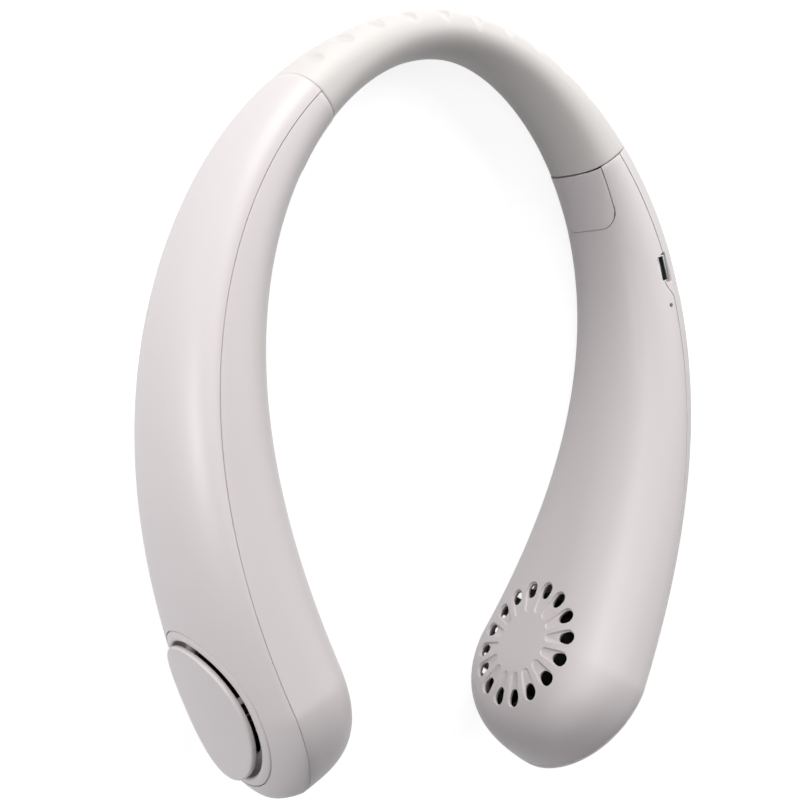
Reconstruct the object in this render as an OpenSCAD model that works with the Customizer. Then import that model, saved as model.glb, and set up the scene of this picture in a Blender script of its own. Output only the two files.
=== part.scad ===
// Neck fan: a soft band joins two rigid arms, and each arm ends in a fan head.
// Lengths are millimetres. The U lies flat, +Z is the side with the charging port.

/* [Seam line] */
// Length of the seam line from the crown to one tip
arm_run = 243; // [232:1:254]
// Turn that the seam line would make if it never eased, in degrees
run_turn_angle = 186; // [181:1:190]
// Part of that turn that is eased away towards the tip, in degrees
tip_ease_angle = 73; // [69:1:77]
// Extra turn bent into the crown, in degrees
crown_turn_angle = 9.4; // [6:0.2:12]
// Share of the run that takes the extra crown turn
crown_share = 0.2; // [0.16:0.01:0.24]
// Run at which the band ends and the arm begins
junction_run = 56.4; // [54:0.2:59]

/* [Body section] */
// Band thickness outside the seam line at the crown
crown_out = 5.8; // [5.2:0.1:6.4]
// Arm thickness outside the seam line
arm_out = 7.6; // [7.2:0.1:8.4]
// Head thickness outside the seam line
head_out = 9.3; // [9.2:0.1:9.6]
// Band thickness inside the seam line at the crown
crown_in = 6.3; // [5.8:0.1:7]
// Head thickness inside the seam line
head_in = 21.9; // [21.6:0.1:22.2]
// Half height of the band at the crown
crown_half_h = 9.4; // [9:0.1:9.8]
// Half height gained steadily along the arm
arm_growth = 17.7; // [17.2:0.1:18.4]
// Half height of the head beyond the dish's edge
head_margin = 7.8; // [7.6:0.1:8.4]
// Length of the head beyond the dish's edge, towards the tip
tip_margin = 7.1; // [6.9:0.1:7.8]
// Squareness of the arm's outer panel across its thickness
out_bow = 1.8; // [1.7:0.05:2]
// Squareness of the arm's outer panel across its height
out_square = 3; // [2.8:0.1:3.2]
// Squareness of the arm's inner bowl across its thickness
in_bow = 3; // [2.9:0.1:3.3]
// Squareness of the arm's inner bowl across its height
in_square = 3.6; // [3.5:0.1:4]
// Squareness of the head's outer panel across its thickness
head_out_bow = 1.25; // [1.2:0.05:1.4]
// Squareness of the head's outer panel across its height
head_out_square = 2.2; // [2.1:0.1:2.5]
// Squareness of the head's inner bowl across its thickness
head_in_bow = 3.2; // [3:0.1:3.4]
// Squareness of the head's inner bowl across its height
head_in_square = 2.8; // [2.7:0.1:3.2]
// Squareness of the inner side across its thickness at the middle of the band
crown_in_bow = 2.1; // [2:0.05:2.5]
// Squareness of the inner side across its height at the middle of the band
crown_in_square = 2.2; // [2.1:0.1:2.8]
// Distance of the fan's axis from the widest run, towards the tip
fan_step = 0.4; // [0:0.1:0.6]

/* [Shells] */
// Wall of the moulded shells
wall = 1.8; // [1.6:0.1:1.9]
// Gap left between the two shells of an arm
seam_gap = 0.2; // [0.15:0.05:0.25]
// Clearance round a screw in its hole
screw_gap = 0.06; // [0.05:0.01:0.1]
// Gap between the band and the arm
band_gap = 0.2; // [0.15:0.05:0.3]

/* [Band] */
// Half width of the channel in the band, across its thickness
channel_half_w = 2.4; // [2.3:0.1:2.6]
// Half height of the channel in the band
channel_half_h = 5; // [4.8:0.1:5.4]
// Number of dimples in each of the two rows on the outside of the band
dimple_count = 11; // [7:1:11]
// Distance between dimples along the band
dimple_pitch = 9.9; // [9.4:0.1:10.2]
// Height of a row of dimples above or below the middle of the band
dimple_z = 6.8; // [6.2:0.1:7]
// Radius of a dimple at the surface
dimple_r = 2.2; // [1.8:0.1:2.4]
// Depth of a dimple
dimple_deep = 0.4; // [0.3:0.1:0.5]
// Thickness of the spring strip in the band
strip_t = 0.8; // [0.6:0.1:1]
// Half height of the spring strip
strip_half_h = 3; // [2.6:0.1:3.4]
// Radius of a wire in the band
wire_r = 0.5; // [0.4:0.05:0.55]

/* [Band anchor] */
// Length of the anchor block inside the arm
anchor_len = 9; // [8:0.5:10]
// Length of the tongue that reaches into the band
tongue_len = 8; // [6:0.5:9]
// Reach of the anchor block inside the seam line
anchor_in = 5.8; // [5.4:0.1:6]
// Reach of the anchor block outside the seam line
anchor_out = 3.6; // [3.3:0.1:3.7]
// Half height of the anchor block
anchor_half_h = 8; // [7.6:0.1:8.2]
// Distance of an anchor screw from the middle
anchor_screw_z = 5.4; // [5.2:0.1:5.6]
// Radius of an anchor screw
anchor_screw_r = 1; // [0.9:0.05:1.1]
// Length of the strap cover along the arm
cover_len = 18.6; // [17:0.2:19.4]
// Half height of the strap cover
cover_half_h = 11; // [10.6:0.1:11.2]
// Corner radius of the strap cover
cover_corner = 5; // [4:0.2:6]
// Thickness of the strap cover
cover_t = 1.6; // [1.4:0.1:1.7]
// How far the strap cover stands proud of the shell
cover_proud = 0.35; // [0.2:0.05:0.5]
// Gap round the strap cover
cover_gap = 0.2; // [0.15:0.05:0.3]

/* [Intake cover] */
// How far the round cover reaches past its posts
disc_lip = 2.4; // [2.2:0.1:2.6]
// Thickness of the round cover
disc_t = 1.5; // [1.4:0.1:1.7]
// Height of the middle of the cover's face above the head
disc_rise = 0.8; // [0.7:0.1:1.2]
// Radius that the cover is bent to across the head
cover_bend_r = 82; // [78:1:90]
// Number of posts under the cover
post_count = 3; // [3:1:4]
// Radius of a post
post_r = 0.85; // [0.8:0.05:0.9]
// Distance of a post from the edge of the air intake
post_step = 1.2; // [1.1:0.1:1.4]
// Turn of the first post from the port's side, towards the band, in degrees
post_turn_angle = 18; // [10:1:24]

/* [Intake dish] */
// Radius of the dish set in the outer shell
dish_r = 21.8; // [21.6:0.1:22]
// Gap round the dish
dish_gap = 0.2; // [0.15:0.05:0.3]
// Height of the dish's rim above the seam line, along the middle of the head
dish_rim = 6.9; // [6.8:0.1:7]
// Radius that the rim is bent to across the head
rim_bend_r = 110; // [104:1:112]
// Tilt of the rim towards the tip, in degrees
rim_tilt_angle = 2.2; // [1.8:0.1:2.4]
// Width of the lip between the rim and the air gap
lip_w = 2.4; // [2.2:0.1:2.5]
// Height of the dish's floor above the seam line
dish_floor = 3.4; // [3.3:0.1:3.6]
// Thickness of the dish
dish_t = 1.2; // [1.1:0.1:1.3]
// How far the air intake in the dish is wider than the blades' inner ends
throat_step = 1.2; // [1:0.1:1.3]
// Slope of the wall between the dish's lip and its floor
dish_slope = 0.5; // [0.4:0.1:0.6]
// Thickness of the scroll wall under the dish
scroll_t = 1.1; // [0.9:0.1:1.2]
// Depth of the scroll wall below the seam line
scroll_deep = 11; // [10:0.2:11.4]
// Width of the air opening in the scroll wall
scroll_open = 30; // [26:1:32]
// Width of the flange that holds the dish under the shell
flange_w = 1.6; // [1.2:0.1:1.8]
// Height of that flange above the seam line
flange_top = 2; // [1.8:0.1:2.1]

/* [Inner grille] */
// Number of petal holes round the inner intake
petal_count = 16; // [12:1:18]
// Distance of a petal's wide end from the fan's axis
petal_ring = 16.6; // [16.2:0.1:16.8]
// Radius of a petal's wide end
petal_r = 1.85; // [1.6:0.05:1.9]
// Distance of a petal's narrow end from the fan's axis
petal_root = 12.6; // [12.4:0.1:13]
// Half width of a petal's narrow end
petal_root_half_w = 0.8; // [0.6:0.05:0.9]
// Turn of the first petal from the line along the head, in degrees
petal_turn_angle = 5.4; // [0:0.2:22.4]

/* [Air outlets] */
// Number of outlet slots on the side away from the port
outlet_count = 11; // [9:1:11]
// Distance between outlet slots
outlet_pitch = 4.4; // [4.2:0.1:4.6]
// Width of an outlet slot
outlet_w = 2; // [1.6:0.1:2.2]
// Distance from the seam line to the start of a slot
outlet_start = 3.5; // [3.2:0.1:4]
// Length of a slot across the head
outlet_len = 8.5; // [8:0.1:9]
// Distance from the fan's axis to the last slot, towards the tip
outlet_end = 9; // [8:0.5:10]

/* [Motor] */
// Rise of the motor seat above the bowl's inside
seat_rise = 1; // [0.9:0.1:1.2]
// Radius of the motor seat
seat_r = 11.6; // [11.4:0.1:11.8]
// Radius of the motor base's flange
base_r = 11; // [10.6:0.1:11.2]
// Thickness of the motor base's flange
base_t = 1.2; // [1.1:0.1:1.4]
// Outer radius of the bearing tube
tube_r = 3.4; // [3.2:0.1:3.5]
// Length of the bearing tube
tube_len = 7.8; // [7.4:0.1:8]
// Outer radius of the sleeve bearing
sleeve_r = 2.4; // [2.2:0.1:2.5]
// Radius of the rotor shaft
shaft_r = 1; // [0.9:0.05:1.1]
// Running gap round the shaft
shaft_gap = 0.03; // [0.02:0.01:0.05]
// Gap between the turning rotor and the fixed base
rotor_gap = 0.4; // [0.35:0.05:0.5]
// Height of the steel rotor cup
yoke_h = 9.2; // [9:0.1:9.4]
// Outer radius of the steel rotor cup
yoke_r = 10.4; // [10.3:0.1:10.6]
// Wall of the steel rotor cup
yoke_t = 0.7; // [0.6:0.05:0.8]
// Thickness of the magnet ring
magnet_t = 1.5; // [1.4:0.05:1.6]
// Gap between the magnet ring and the stator
air_gap = 0.4; // [0.35:0.05:0.45]
// Height of the stator's steel core
core_h = 5; // [4.6:0.1:5.2]
// Number of stator teeth
tooth_count = 6; // [6:3:9]
// Width of a stator tooth
tooth_w = 1.5; // [1.3:0.1:1.6]
// Thickness of a pole shoe
shoe_t = 0.9; // [0.8:0.05:1]
// Thickness of a coil round its tooth
coil_t = 0.7; // [0.5:0.05:0.75]
// Distance of a motor screw from the axis
motor_screw_ring = 6.6; // [6.4:0.1:7]
// Radius of a motor screw
motor_screw_r = 0.7; // [0.6:0.05:0.8]

/* [Impeller] */
// Gap between the impeller and the scroll wall
fan_gap = 1.2; // [1:0.1:1.6]
// Length of a blade
blade_deep = 6; // [5.4:0.1:6.4]
// Thickness of the hub's web
web_t = 1.2; // [1:0.1:1.3]
// Wall of the hub's skirt
hub_t = 1.3; // [1.1:0.1:1.4]
// Blade height below the web
blade_low = 5.7; // [5.4:0.1:5.8]
// Blade height above the web
blade_high = 8; // [7.6:0.1:8.1]
// Width of the rings that tie the blade ends
ring_w = 3; // [2:0.1:3.4]
// Thickness of those rings
ring_t = 0.8; // [0.6:0.1:0.9]
// Number of blades
blade_count = 24; // [16:1:26]
// Thickness of a blade
blade_t = 0.8; // [0.7:0.05:0.9]
// Forward sweep of a blade, in degrees
blade_sweep_angle = 16; // [8:1:20]

/* [Electronics] */
// Run from the band's end to the middle of the charging port
port_step = 35.4; // [34.2:0.2:36.2]
// Distance of the port's middle inside the seam line
port_in = 1.05; // [0.9:0.05:1.2]
// Length of the port opening in the shells
port_len = 8.7; // [8.4:0.1:9]
// Width of the port opening in the shells
port_w = 3.2; // [3:0.1:3.4]
// Length of the socket's metal mouth
socket_len = 7.5; // [7.3:0.1:7.6]
// Width of the socket's metal mouth
socket_w = 2.4; // [2.3:0.1:2.5]
// Depth of the socket
socket_deep = 5.4; // [5:0.1:5.6]
// Wall of the socket's metal mouth
socket_t = 0.3; // [0.25:0.05:0.35]
// How far the socket sits below the shell's surface
socket_sunk = 0.8; // [0.6:0.1:1.2]
// Distance of the status light from the board's end
light_back = 4.2; // [3.8:0.1:4.6]
// Distance of the status light inside the seam line
light_in = 1.85; // [1.8:0.05:1.95]
// Radius of the light window
light_r = 0.6; // [0.5:0.05:0.7]
// Gap round the light window
light_gap = 0.05; // [0.05:0.01:0.1]
// Length of the circuit board along the arm
board_len = 30; // [29:0.5:31]
// Half height of the circuit board
board_half_h = 12; // [11.6:0.1:12.2]
// Thickness of the circuit board
board_t = 1; // [0.9:0.1:1]
// Radius of a board screw
board_screw_r = 0.7; // [0.6:0.05:0.8]
// Distance of a board screw from the board's edges
board_screw_in = 2.6; // [2.2:0.1:3]
// Length of a battery pack
cell_len = 54; // [50:1:56]
// Half height of a battery pack
cell_half_h = 13; // [12:0.2:13.6]
// Thickness of a battery pack
cell_t = 8.4; // [8:0.1:8.8]
// Distance of a battery pack from the circuit board
cell_gap = 6.2; // [5:0.2:8]
// How far the battery's leads stop short of it, along the seam line
lead_back = 1.6; // [1.4:0.1:1.8]
// Distance of the battery's middle inside the seam line
cell_in = 5.2; // [4.8:0.1:5.6]
// Distance of the partition from the battery pack
divider_gap = 4.5; // [4:0.1:5.5]
// Thickness of the partition
divider_t = 1.4; // [1.2:0.1:1.6]

/* [Power button] */
// Radius of the power button
button_r = 4; // [3.8:0.1:4.2]
// Running gap round the power button
button_gap = 0.2; // [0.15:0.05:0.25]
// How far the button stands proud of the shell
button_proud = 0.8; // [0.7:0.05:0.9]
// Radius of the button's rounded edge
button_edge = 0.7; // [0.6:0.1:0.9]
// Travel of the power button
button_travel = 0.5; // [0.4:0.05:0.55]
// Width of the rim that keeps the button in
button_rim = 0.8; // [0.6:0.1:0.9]
// Half width of the push switch
switch_half_w = 3; // [2.8:0.1:3.1]
// Height of the push switch
switch_h = 4; // [3.8:0.1:4.1]
// Radius of the switch's plunger
plunger_r = 1.5; // [1.3:0.1:1.6]

/* [Hidden] */

// Colours of the materials
housing_colour = [0.86, 0.83, 0.83];
band_colour = [0.92, 0.91, 0.89];
dark_colour = [0.16, 0.16, 0.17];
steel_colour = [0.72, 0.73, 0.75];
magnet_colour = [0.25, 0.25, 0.27];
copper_colour = [0.72, 0.42, 0.22];
brass_colour = [0.78, 0.62, 0.32];
board_colour = [0.1, 0.35, 0.2];
cell_colour = [0.55, 0.62, 0.7];
lead_colour = [0.75, 0.12, 0.1];
glow_colour = [0.85, 0.95, 0.9];

// Steps of the lofts and of round shapes
path_steps = 240;
arm_steps = 18;
cap_steps = 9;
skin_steps = 14;
band_steps = 24;
band_points = 24;
cover_steps = 6;
wire_steps = 14;
wire_points = 6;
round_fn = 64;

// Shape of the rounded tip and of the change from band to arm
cap_bow = 2.6;
cap_close = 0.35;
bulge_share = 0.4;
flare_power = 4;
growth_power = 1.2;

// Overrun of a cut past the face that it cuts
over = wall;
half_gap = seam_gap / 2;

// Sizes of the head that follow the dish
tip_len = dish_r + tip_margin;
head_run = arm_run - tip_len;
fan_run = head_run + fan_step;
head_flare = dish_r + head_margin - crown_half_h - arm_growth;
fan_r = dish_r - scroll_t - fan_gap;
blade_root = fan_r - blade_deep;
throat_r = blade_root + throat_step;
post_ring = throat_r + post_step;
disc_r = post_ring + disc_lip;

// Places along the arm that follow the charging port and the circuit board
port_run = junction_run + port_step;
light_run = port_run + board_len / 2 - light_back;
cell_run = port_run + board_len / 2 + cell_gap + cell_len / 2;
divider_run = cell_run + cell_len / 2 + divider_gap;
board_screw_x = board_len / 2 - board_screw_in;
board_screw_z = board_half_h - board_screw_in;

// Levels of the fan, measured outwards from the seam line along the fan's axis
bowl_floor = -(head_in - wall);
seat_top = bowl_floor + seat_rise;
base_top = seat_top + base_t;
rotor_low = base_top + rotor_gap;
yoke_top = rotor_low + yoke_h;
web_top = yoke_top + web_t;
blade_bottom = yoke_top - blade_low;
blade_top = web_top + blade_high;
magnet_r = yoke_r - yoke_t;
stator_r = magnet_r - magnet_t - air_gap;
core_low = rotor_low + rotor_gap + coil_t;
core_top = core_low + core_h;
disc_top = head_out + disc_rise;

// Places of the board and of what stands on it
board_out = -(port_in + socket_w / 2);
board_in = board_out - board_t;
port_top = half_h_at(port_run) - socket_sunk;
button_top = arm_out + button_proud;
button_low = arm_out - wall - button_rim - rotor_gap;
switch_top = board_out + switch_h;
tongue_half_h = channel_half_h - rotor_gap;
tongue_low = channel_half_w - 2 * rotor_gap;
wire_n = channel_half_w - 2 * wire_r;
wire_z = 2.8 * wire_r;
lead_z = 7;

function clamp(v, low, high) = min(max(v, low), high);
function ease(u) = u * u * (3 - 2 * u);

// Heading of the seam line at a run from the crown, in degrees clockwise
function heading(s) = run_turn_angle * s / arm_run - tip_ease_angle * pow(s / arm_run, 2)
    + crown_turn_angle * (1 - pow(max(0, 1 - s / (crown_share * arm_run)), 3));
function turn(s) = sign(s) * heading(abs(s));

step = arm_run / path_steps;
function stride(i) = step * [cos(heading((i + 0.5) * step)), -sin(heading((i + 0.5) * step))];
path = [for (i = 0, p = [0, 0]; i <= path_steps; p = p + stride(i), i = i + 1) p];

// Point of the seam line at a run, and a point off it by n outwards and z up
function ref(s) = let(u = abs(s) / step, i = min(floor(u), path_steps - 1),
    p = path[i] + (u - i) * (path[i + 1] - path[i])) [sign(s) * p[0], p[1]];
function at(s, n, z) = let(p = ref(s), h = turn(s)) [p[0] + n * sin(h), p[1] + n * cos(h), z];

// The same point seen in the straight frame of another run
function local(s0, s, n) = let(d = at(s, n, 0) - at(s0, 0, 0), h = turn(s0))
    [d[0] * cos(h) - d[1] * sin(h), d[0] * sin(h) + d[1] * cos(h)];

function share(s) = min(abs(s) / head_run, 1);

// A value at a run, from the band's middle to the arm and on to the head
function blend(crown, arm, head, s) = share(s) < bulge_share
    ? crown + (arm - crown) * ease(share(s) / bulge_share)
    : arm + (head - arm) * ease((share(s) - bulge_share) / (1 - bulge_share));

// Thickness outside and inside the seam line, and half height
function out_at(s) = blend(crown_out, arm_out, head_out, s);
function in_at(s) = crown_in + (head_in - crown_in) * ease(share(s));
function half_h_at(s) = crown_half_h + arm_growth * pow(share(s), growth_power)
    + head_flare * pow(share(s), flare_power);

// How square a section is at a run
function out_bow_at(s) = blend(out_bow, out_bow, head_out_bow, s);
function out_square_at(s) = blend(out_square, out_square, head_out_square, s);
function in_bow_at(s) = blend(crown_in_bow, in_bow, head_in_bow, s);
function in_square_at(s) = blend(crown_in_square, in_square, head_in_square, s);

// How far the section has closed towards the tip
function close(s, inset) = clamp((s - head_run) / (tip_len - inset), 0, 1);
function close_n(s, inset) = pow(1 - pow(close(s, inset), cap_bow), cap_close);
function close_z(s, inset) = sqrt(1 - pow(close(s, inset), 2));

// Half section from +z round to -z: w runs from 90 to -90 degrees
function rise(w, square) = sign(sin(w)) * pow(abs(sin(w)), 2 / square);
function bow(w, power) = pow(abs(cos(w)), 2 / power);
function out_skin(s, inset, w, gap) = at(s,
    gap + (out_at(s) - inset) * close_n(s, inset) * bow(w, out_bow_at(s)),
    (half_h_at(s) - inset) * close_z(s, inset) * rise(w, out_square_at(s)));
function in_skin(s, inset, w, gap) = at(s,
    -gap - (in_at(s) - inset) * close_n(s, inset) * bow(w, in_bow_at(s)),
    (half_h_at(s) - inset) * close_z(s, inset) * rise(w, in_square_at(s)));

// Level of the panel's inside and of the bowl's inside at a height z
function panel_inside(s, z) = half_gap
    + (out_at(s) - wall) * pow(1 - pow(abs(z) / (half_h_at(s) - wall), out_square_at(s)), 1 / out_bow_at(s));
function bowl_inside(s, z) = -half_gap
    - (in_at(s) - wall) * pow(1 - pow(abs(z) / (half_h_at(s) - wall), in_square_at(s)), 1 / in_bow_at(s));

// Runs of the stations of an arm, for a skin moved in by inset
function arm_runs(inset) = [
    for (i = [0:arm_steps]) junction_run + (head_run - junction_run) * i / arm_steps,
    for (i = [1:cap_steps - 1]) head_run + (tip_len - inset) * sin(90 * i / cap_steps)];

low_y = min([for (s = concat(arm_runs(0), [arm_run])) out_skin(s, 0, 0, half_gap)[1]]);
mid_y = (crown_out + low_y) / 2;
rest_z = half_h_at(head_run);

// Faces between rings of m points, and over the ends of a loft of n rings
function side_faces(n, m) = [for (i = [0:n - 2], j = [0:m - 1])
    let(a = i * m + j, b = i * m + (j + 1) % m) each [[a, b, b + m], [a, b + m, a + m]]];
function first_face(m) = [for (j = [m - 1:-1:0]) j];
function last_face(n, m) = [for (j = [0:m - 1]) (n - 1) * m + j];
function flipped(faces) = [for (f = faces) [for (k = [len(f) - 1:-1:0]) f[k]]];

// The end of a loft whose ring runs out along one skin and back along the other
function strip_face(m) = [for (j = [0:m / 2 - 2])
    let(a = m - 1 - j, b = m - 2 - j) each [[j, a, b], [j, b, j + 1]]];
function strip_end(n, m) = [for (f = strip_face(m)) [for (k = [2:-1:0]) f[k] + (n - 1) * m]];

// A closed solid through rings, each flat and with the same number of points
module loft(rings) {
    n = len(rings);
    m = len(rings[0]);
    faces = concat(side_faces(n, m), [first_face(m)], [last_face(n, m)]);
    polyhedron([for (r = rings) each r], faces);
}

// The same for a skin with thickness, whose rings are bent strips
module strip_loft(rings) {
    n = len(rings);
    m = len(rings[0]);
    faces = concat(side_faces(n, m), strip_face(m), strip_end(n, m));
    polyhedron([for (r = rings) each r], faces);
}

// Half of an arm's housing: two skins that each close to a point at the tip
module arm_shell(outer) {
    skins = arm_runs(0);
    cores = arm_runs(wall);
    n = len(skins);
    m = 2 * (skin_steps + 1);
    angles = [for (j = [0:skin_steps]) 90 - 180 * j / skin_steps];
    function skin(s, inset, w) = outer ? out_skin(s, inset, w, half_gap) : in_skin(s, inset, w, half_gap);
    rings = [for (i = [0:n - 1]) concat(
        [for (w = angles) skin(skins[i], 0, w)],
        [for (w = angles) skin(cores[i], wall, -w)])];
    tips = [skin(arm_run, 0, 0), skin(arm_run - wall, wall, 0)];
    function tip_of(j) = n * m + (j % m <= skin_steps ? 0 : 1);
    function tip_faces(j) = let(a = (n - 1) * m + j, b = (n - 1) * m + (j + 1) % m,
        p = tip_of(j), q = tip_of(j + 1)) p == q ? [[a, b, p]] : [[a, b, q], [a, q, p]];
    faces = concat(side_faces(n, m), strip_face(m), [for (j = [0:m - 1]) each tip_faces(j)]);
    polyhedron(concat([for (r = rings) each r], tips), outer ? faces : flipped(faces));
}

// A round wire that keeps a place (n, z) along the seam line from run a to run b
module wire(a, b, radius, z, level) {
    runs = [for (i = [0:wire_steps]) a + (b - a) * i / wire_steps];
    loft([for (s = runs) [for (k = [0:wire_points - 1]) let(w = 360 * k / wire_points)
        at(s, level(s) + radius * sin(w), z + radius * cos(w))]]);
}

// Puts a side in its place: the origin is under the middle of the whole outline
module place(side) {
    translate([0, -mid_y, rest_z]) mirror([side < 0 ? 1 : 0, 0, 0]) children();
}

// Straight frame at a run: x along the arm, y outwards, z up
module at_run(s) {
    translate(at(s, 0, 0)) rotate([0, 0, -turn(s)]) children();
}

// Frame of the fan: z outwards along its axis, y away from the charging port
module at_fan() {
    at_run(fan_run) rotate([-90, 0, 0]) children();
}

// Frames of the two anchor screws, with z outwards
module at_anchor_screws() {
    at_run(junction_run) for (z = [-1, 1])
        translate([rotor_gap + anchor_len / 2, 0, z * anchor_screw_z]) rotate([-90, 0, 0]) children();
}

module ring(outer_r, inner_r, low, high) {
    translate([0, 0, low]) linear_extrude(high - low) difference() {
        circle(outer_r, $fn = round_fn);
        circle(inner_r, $fn = round_fn);
    }
}

module rod(radius, low, high) {
    translate([0, 0, low]) cylinder(h = high - low, r = radius, $fn = round_fn);
}

// A plate lying in x and z with rounded corners, from level low to level high
module plate(half_x, half_z, corner, low, high) {
    translate([0, high, 0]) rotate([90, 0, 0]) linear_extrude(high - low) union() {
        square([2 * (half_x - corner), 2 * half_z], center = true);
        square([2 * half_x, 2 * (half_z - corner)], center = true);
        for (x = [-1, 1], z = [-1, 1])
            translate([x * (half_x - corner), z * (half_z - corner)]) circle(corner, $fn = round_fn);
    }
}

// Outline of the strap cover, grown by a gap and lengthened towards the band
module strap_outline(grow, before) {
    x0 = -cover_len / 2 - before;
    x1 = cover_len / 2 - cover_corner;
    z1 = cover_half_h - cover_corner;
    translate([x0, -cover_half_h - grow]) square([x1 - x0, 2 * (cover_half_h + grow)]);
    translate([x0, -z1]) square([cover_len / 2 + grow - x0, 2 * z1]);
    for (z = [-1, 1]) translate([x1, z * z1]) circle(cover_corner + grow, $fn = round_fn);
}

module strap_prism(grow, before) {
    at_run(junction_run + cover_gap + cover_len / 2) translate([0, -anchor_out, 0])
        rotate([90, 0, 0]) linear_extrude(head_in) strap_outline(grow, before);
}

// Opening for the charging plug: a slot with round ends
module port_opening() {
    half = port_len / 2 - port_w / 2;
    at_run(port_run) translate([0, -port_in, half_h_at(port_run) - wall - over])
        linear_extrude(wall + 2 * over) union() {
            square([2 * half, port_w], center = true);
            for (x = [-1, 1]) translate([x * half, 0]) circle(port_w / 2, $fn = round_fn);
        }
}

module petal() {
    linear_extrude(head_in) union() {
        translate([petal_ring, 0]) circle(petal_r, $fn = round_fn);
        polygon([[petal_root, -petal_root_half_w], [petal_ring, -petal_r],
            [petal_ring, petal_r], [petal_root, petal_root_half_w]]);
    }
}

module outer_shell(side) {
    color(housing_colour) place(side) {
        difference() {
            union() {
                arm_shell(true);
                at_anchor_screws() rod(2 * anchor_screw_r, anchor_out + shaft_gap, anchor_out + wall);
            }
            at_fan() rod(dish_r + dish_gap, 0, head_in);
            at_anchor_screws() rod(anchor_screw_r + screw_gap, 0, anchor_out + wall);
            if (side > 0) {
                port_opening();
                at_run(port_run) rotate([-90, 0, 0]) rod(button_r + button_gap, button_low, head_in);
            }
        }
    }
}

module inner_shell(side) {
    color(housing_colour) place(side) {
        difference() {
            union() {
                arm_shell(false);
                at_fan() rod(seat_r, bowl_floor - wall / 2, seat_top);
                if (side > 0) board_posts();
            }
            at_fan() translate([0, 0, -head_in - over]) intersection() {
                for (i = [0:petal_count - 1]) rotate(360 * i / petal_count + petal_turn_angle) petal();
                rod(petal_ring + petal_r, 0, 2 * over + 2 * wall);
            }
            for (x = [-1, 0, 1]) at_fan() rotate(120 * x) translate([motor_screw_ring, 0, 0])
                rod(motor_screw_r + screw_gap, bowl_floor - wall / 2, 0);
            outlet_slots();
            strap_prism(cover_gap, anchor_len);
            if (side > 0) {
                port_opening();
                at_run(light_run) translate([0, -light_in, 0])
                    rod(light_r + light_gap, board_half_h, half_h_at(light_run) + over);
            }
        }
    }
}

module outlet_slots() {
    for (i = [0:outlet_count - 1]) {
        s = fan_run + outlet_end - i * outlet_pitch;
        at_run(s) translate([-outlet_w / 2, -outlet_start - outlet_len, -half_h_at(s) - over])
            cube([outlet_w, outlet_len, 4 * wall]);
    }
}

// Two posts inside the right bowl that carry the circuit board
module board_posts() {
    z = -board_screw_z;
    for (x = [-board_screw_x, board_screw_x]) {
        s = port_run + x;
        end = local(port_run, s, bowl_inside(s, board_screw_z) - wall / 2)[1];
        at_run(port_run) translate([x, 0, z]) rotate([-90, 0, 0]) difference() {
            rod(2 * board_screw_r, end, board_in);
            rod(board_screw_r + screw_gap, board_in - 2 * wall, board_in + over);
        }
    }
}

// A thick bar along the head, whose round top cuts a bent face with its middle at a level
module bent_bar(level, radius, tilt_angle) {
    translate([0, 0, level]) rotate([0, tilt_angle, 0]) translate([-2 * dish_r, 0, -radius]) rotate([0, 90, 0])
        cylinder(h = 4 * dish_r, r = radius, $fn = 4 * round_fn);
}

module at_posts() {
    for (i = [0:post_count - 1]) rotate(360 * i / post_count - 90 - post_turn_angle)
        translate([post_ring, 0, 0]) children();
}

module intake_dish(side) {
    lip_r = dish_r - lip_w;
    color(housing_colour) place(side) at_fan() intersection() {
        difference() {
            rotate_extrude($fn = round_fn) polygon([
                [throat_r, dish_floor - dish_t], [throat_r, dish_floor], [lip_r - dish_slope, dish_floor],
                [lip_r, head_out], [dish_r, head_out], [dish_r, flange_top],
                [dish_r + flange_w, flange_top], [dish_r + flange_w, flange_top - dish_t],
                [dish_r, flange_top - dish_t], [dish_r, -scroll_deep], [dish_r - scroll_t, -scroll_deep],
                [dish_r - scroll_t, dish_floor - dish_t]]);
            translate([-scroll_open / 2, 0, -scroll_deep - over])
                cube([scroll_open, dish_r + over, scroll_deep + over - seam_gap]);
            at_posts() rod(post_r, 0, head_out);
        }
        bent_bar(dish_rim, rim_bend_r, rim_tilt_angle);
    }
}

module intake_cover(side) {
    color(housing_colour) place(side) at_fan() {
        difference() {
            intersection() {
                rod(disc_r, 0, disc_top);
                bent_bar(disc_top, cover_bend_r, 0);
            }
            bent_bar(disc_top - disc_t, cover_bend_r - disc_t, 0);
        }
        intersection() {
            at_posts() rod(post_r, dish_floor - dish_t, disc_top);
            bent_bar(disc_top - disc_t / 2, cover_bend_r - disc_t / 2, 0);
        }
    }
}

// One blade: a thin curved strip that sweeps forward as it goes outwards
module blade() {
    knots = [0:6];
    last = 6;
    function at_knot(k, half) = let(r = blade_root + (fan_r - blade_t - blade_root) * k / last,
        w = blade_sweep_angle * pow(k / last, 2)) [r * cos(w) - half * sin(w), r * sin(w) + half * cos(w)];
    polygon(concat([for (k = knots) at_knot(k, -blade_t / 2)],
        [for (k = [last:-1:0]) at_knot(k, blade_t / 2)]));
}

module impeller(side) {
    color(dark_colour) place(side) at_fan() {
        difference() {
            union() {
                rod(fan_r, yoke_top, web_top);
                rod(yoke_r + hub_t, rotor_low + rotor_gap, yoke_top);
                rod(yoke_r / 2, web_top, web_top + web_t);
                for (i = [0:blade_count - 1]) rotate(360 * i / blade_count)
                    translate([0, 0, blade_bottom]) linear_extrude(blade_top - blade_bottom) blade();
                ring(fan_r, fan_r - ring_w, blade_bottom, blade_bottom + ring_t);
                ring(fan_r, fan_r - ring_w, blade_top - ring_t, blade_top);
            }
            rod(yoke_r, rotor_low - over, yoke_top);
        }
    }
}

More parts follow.
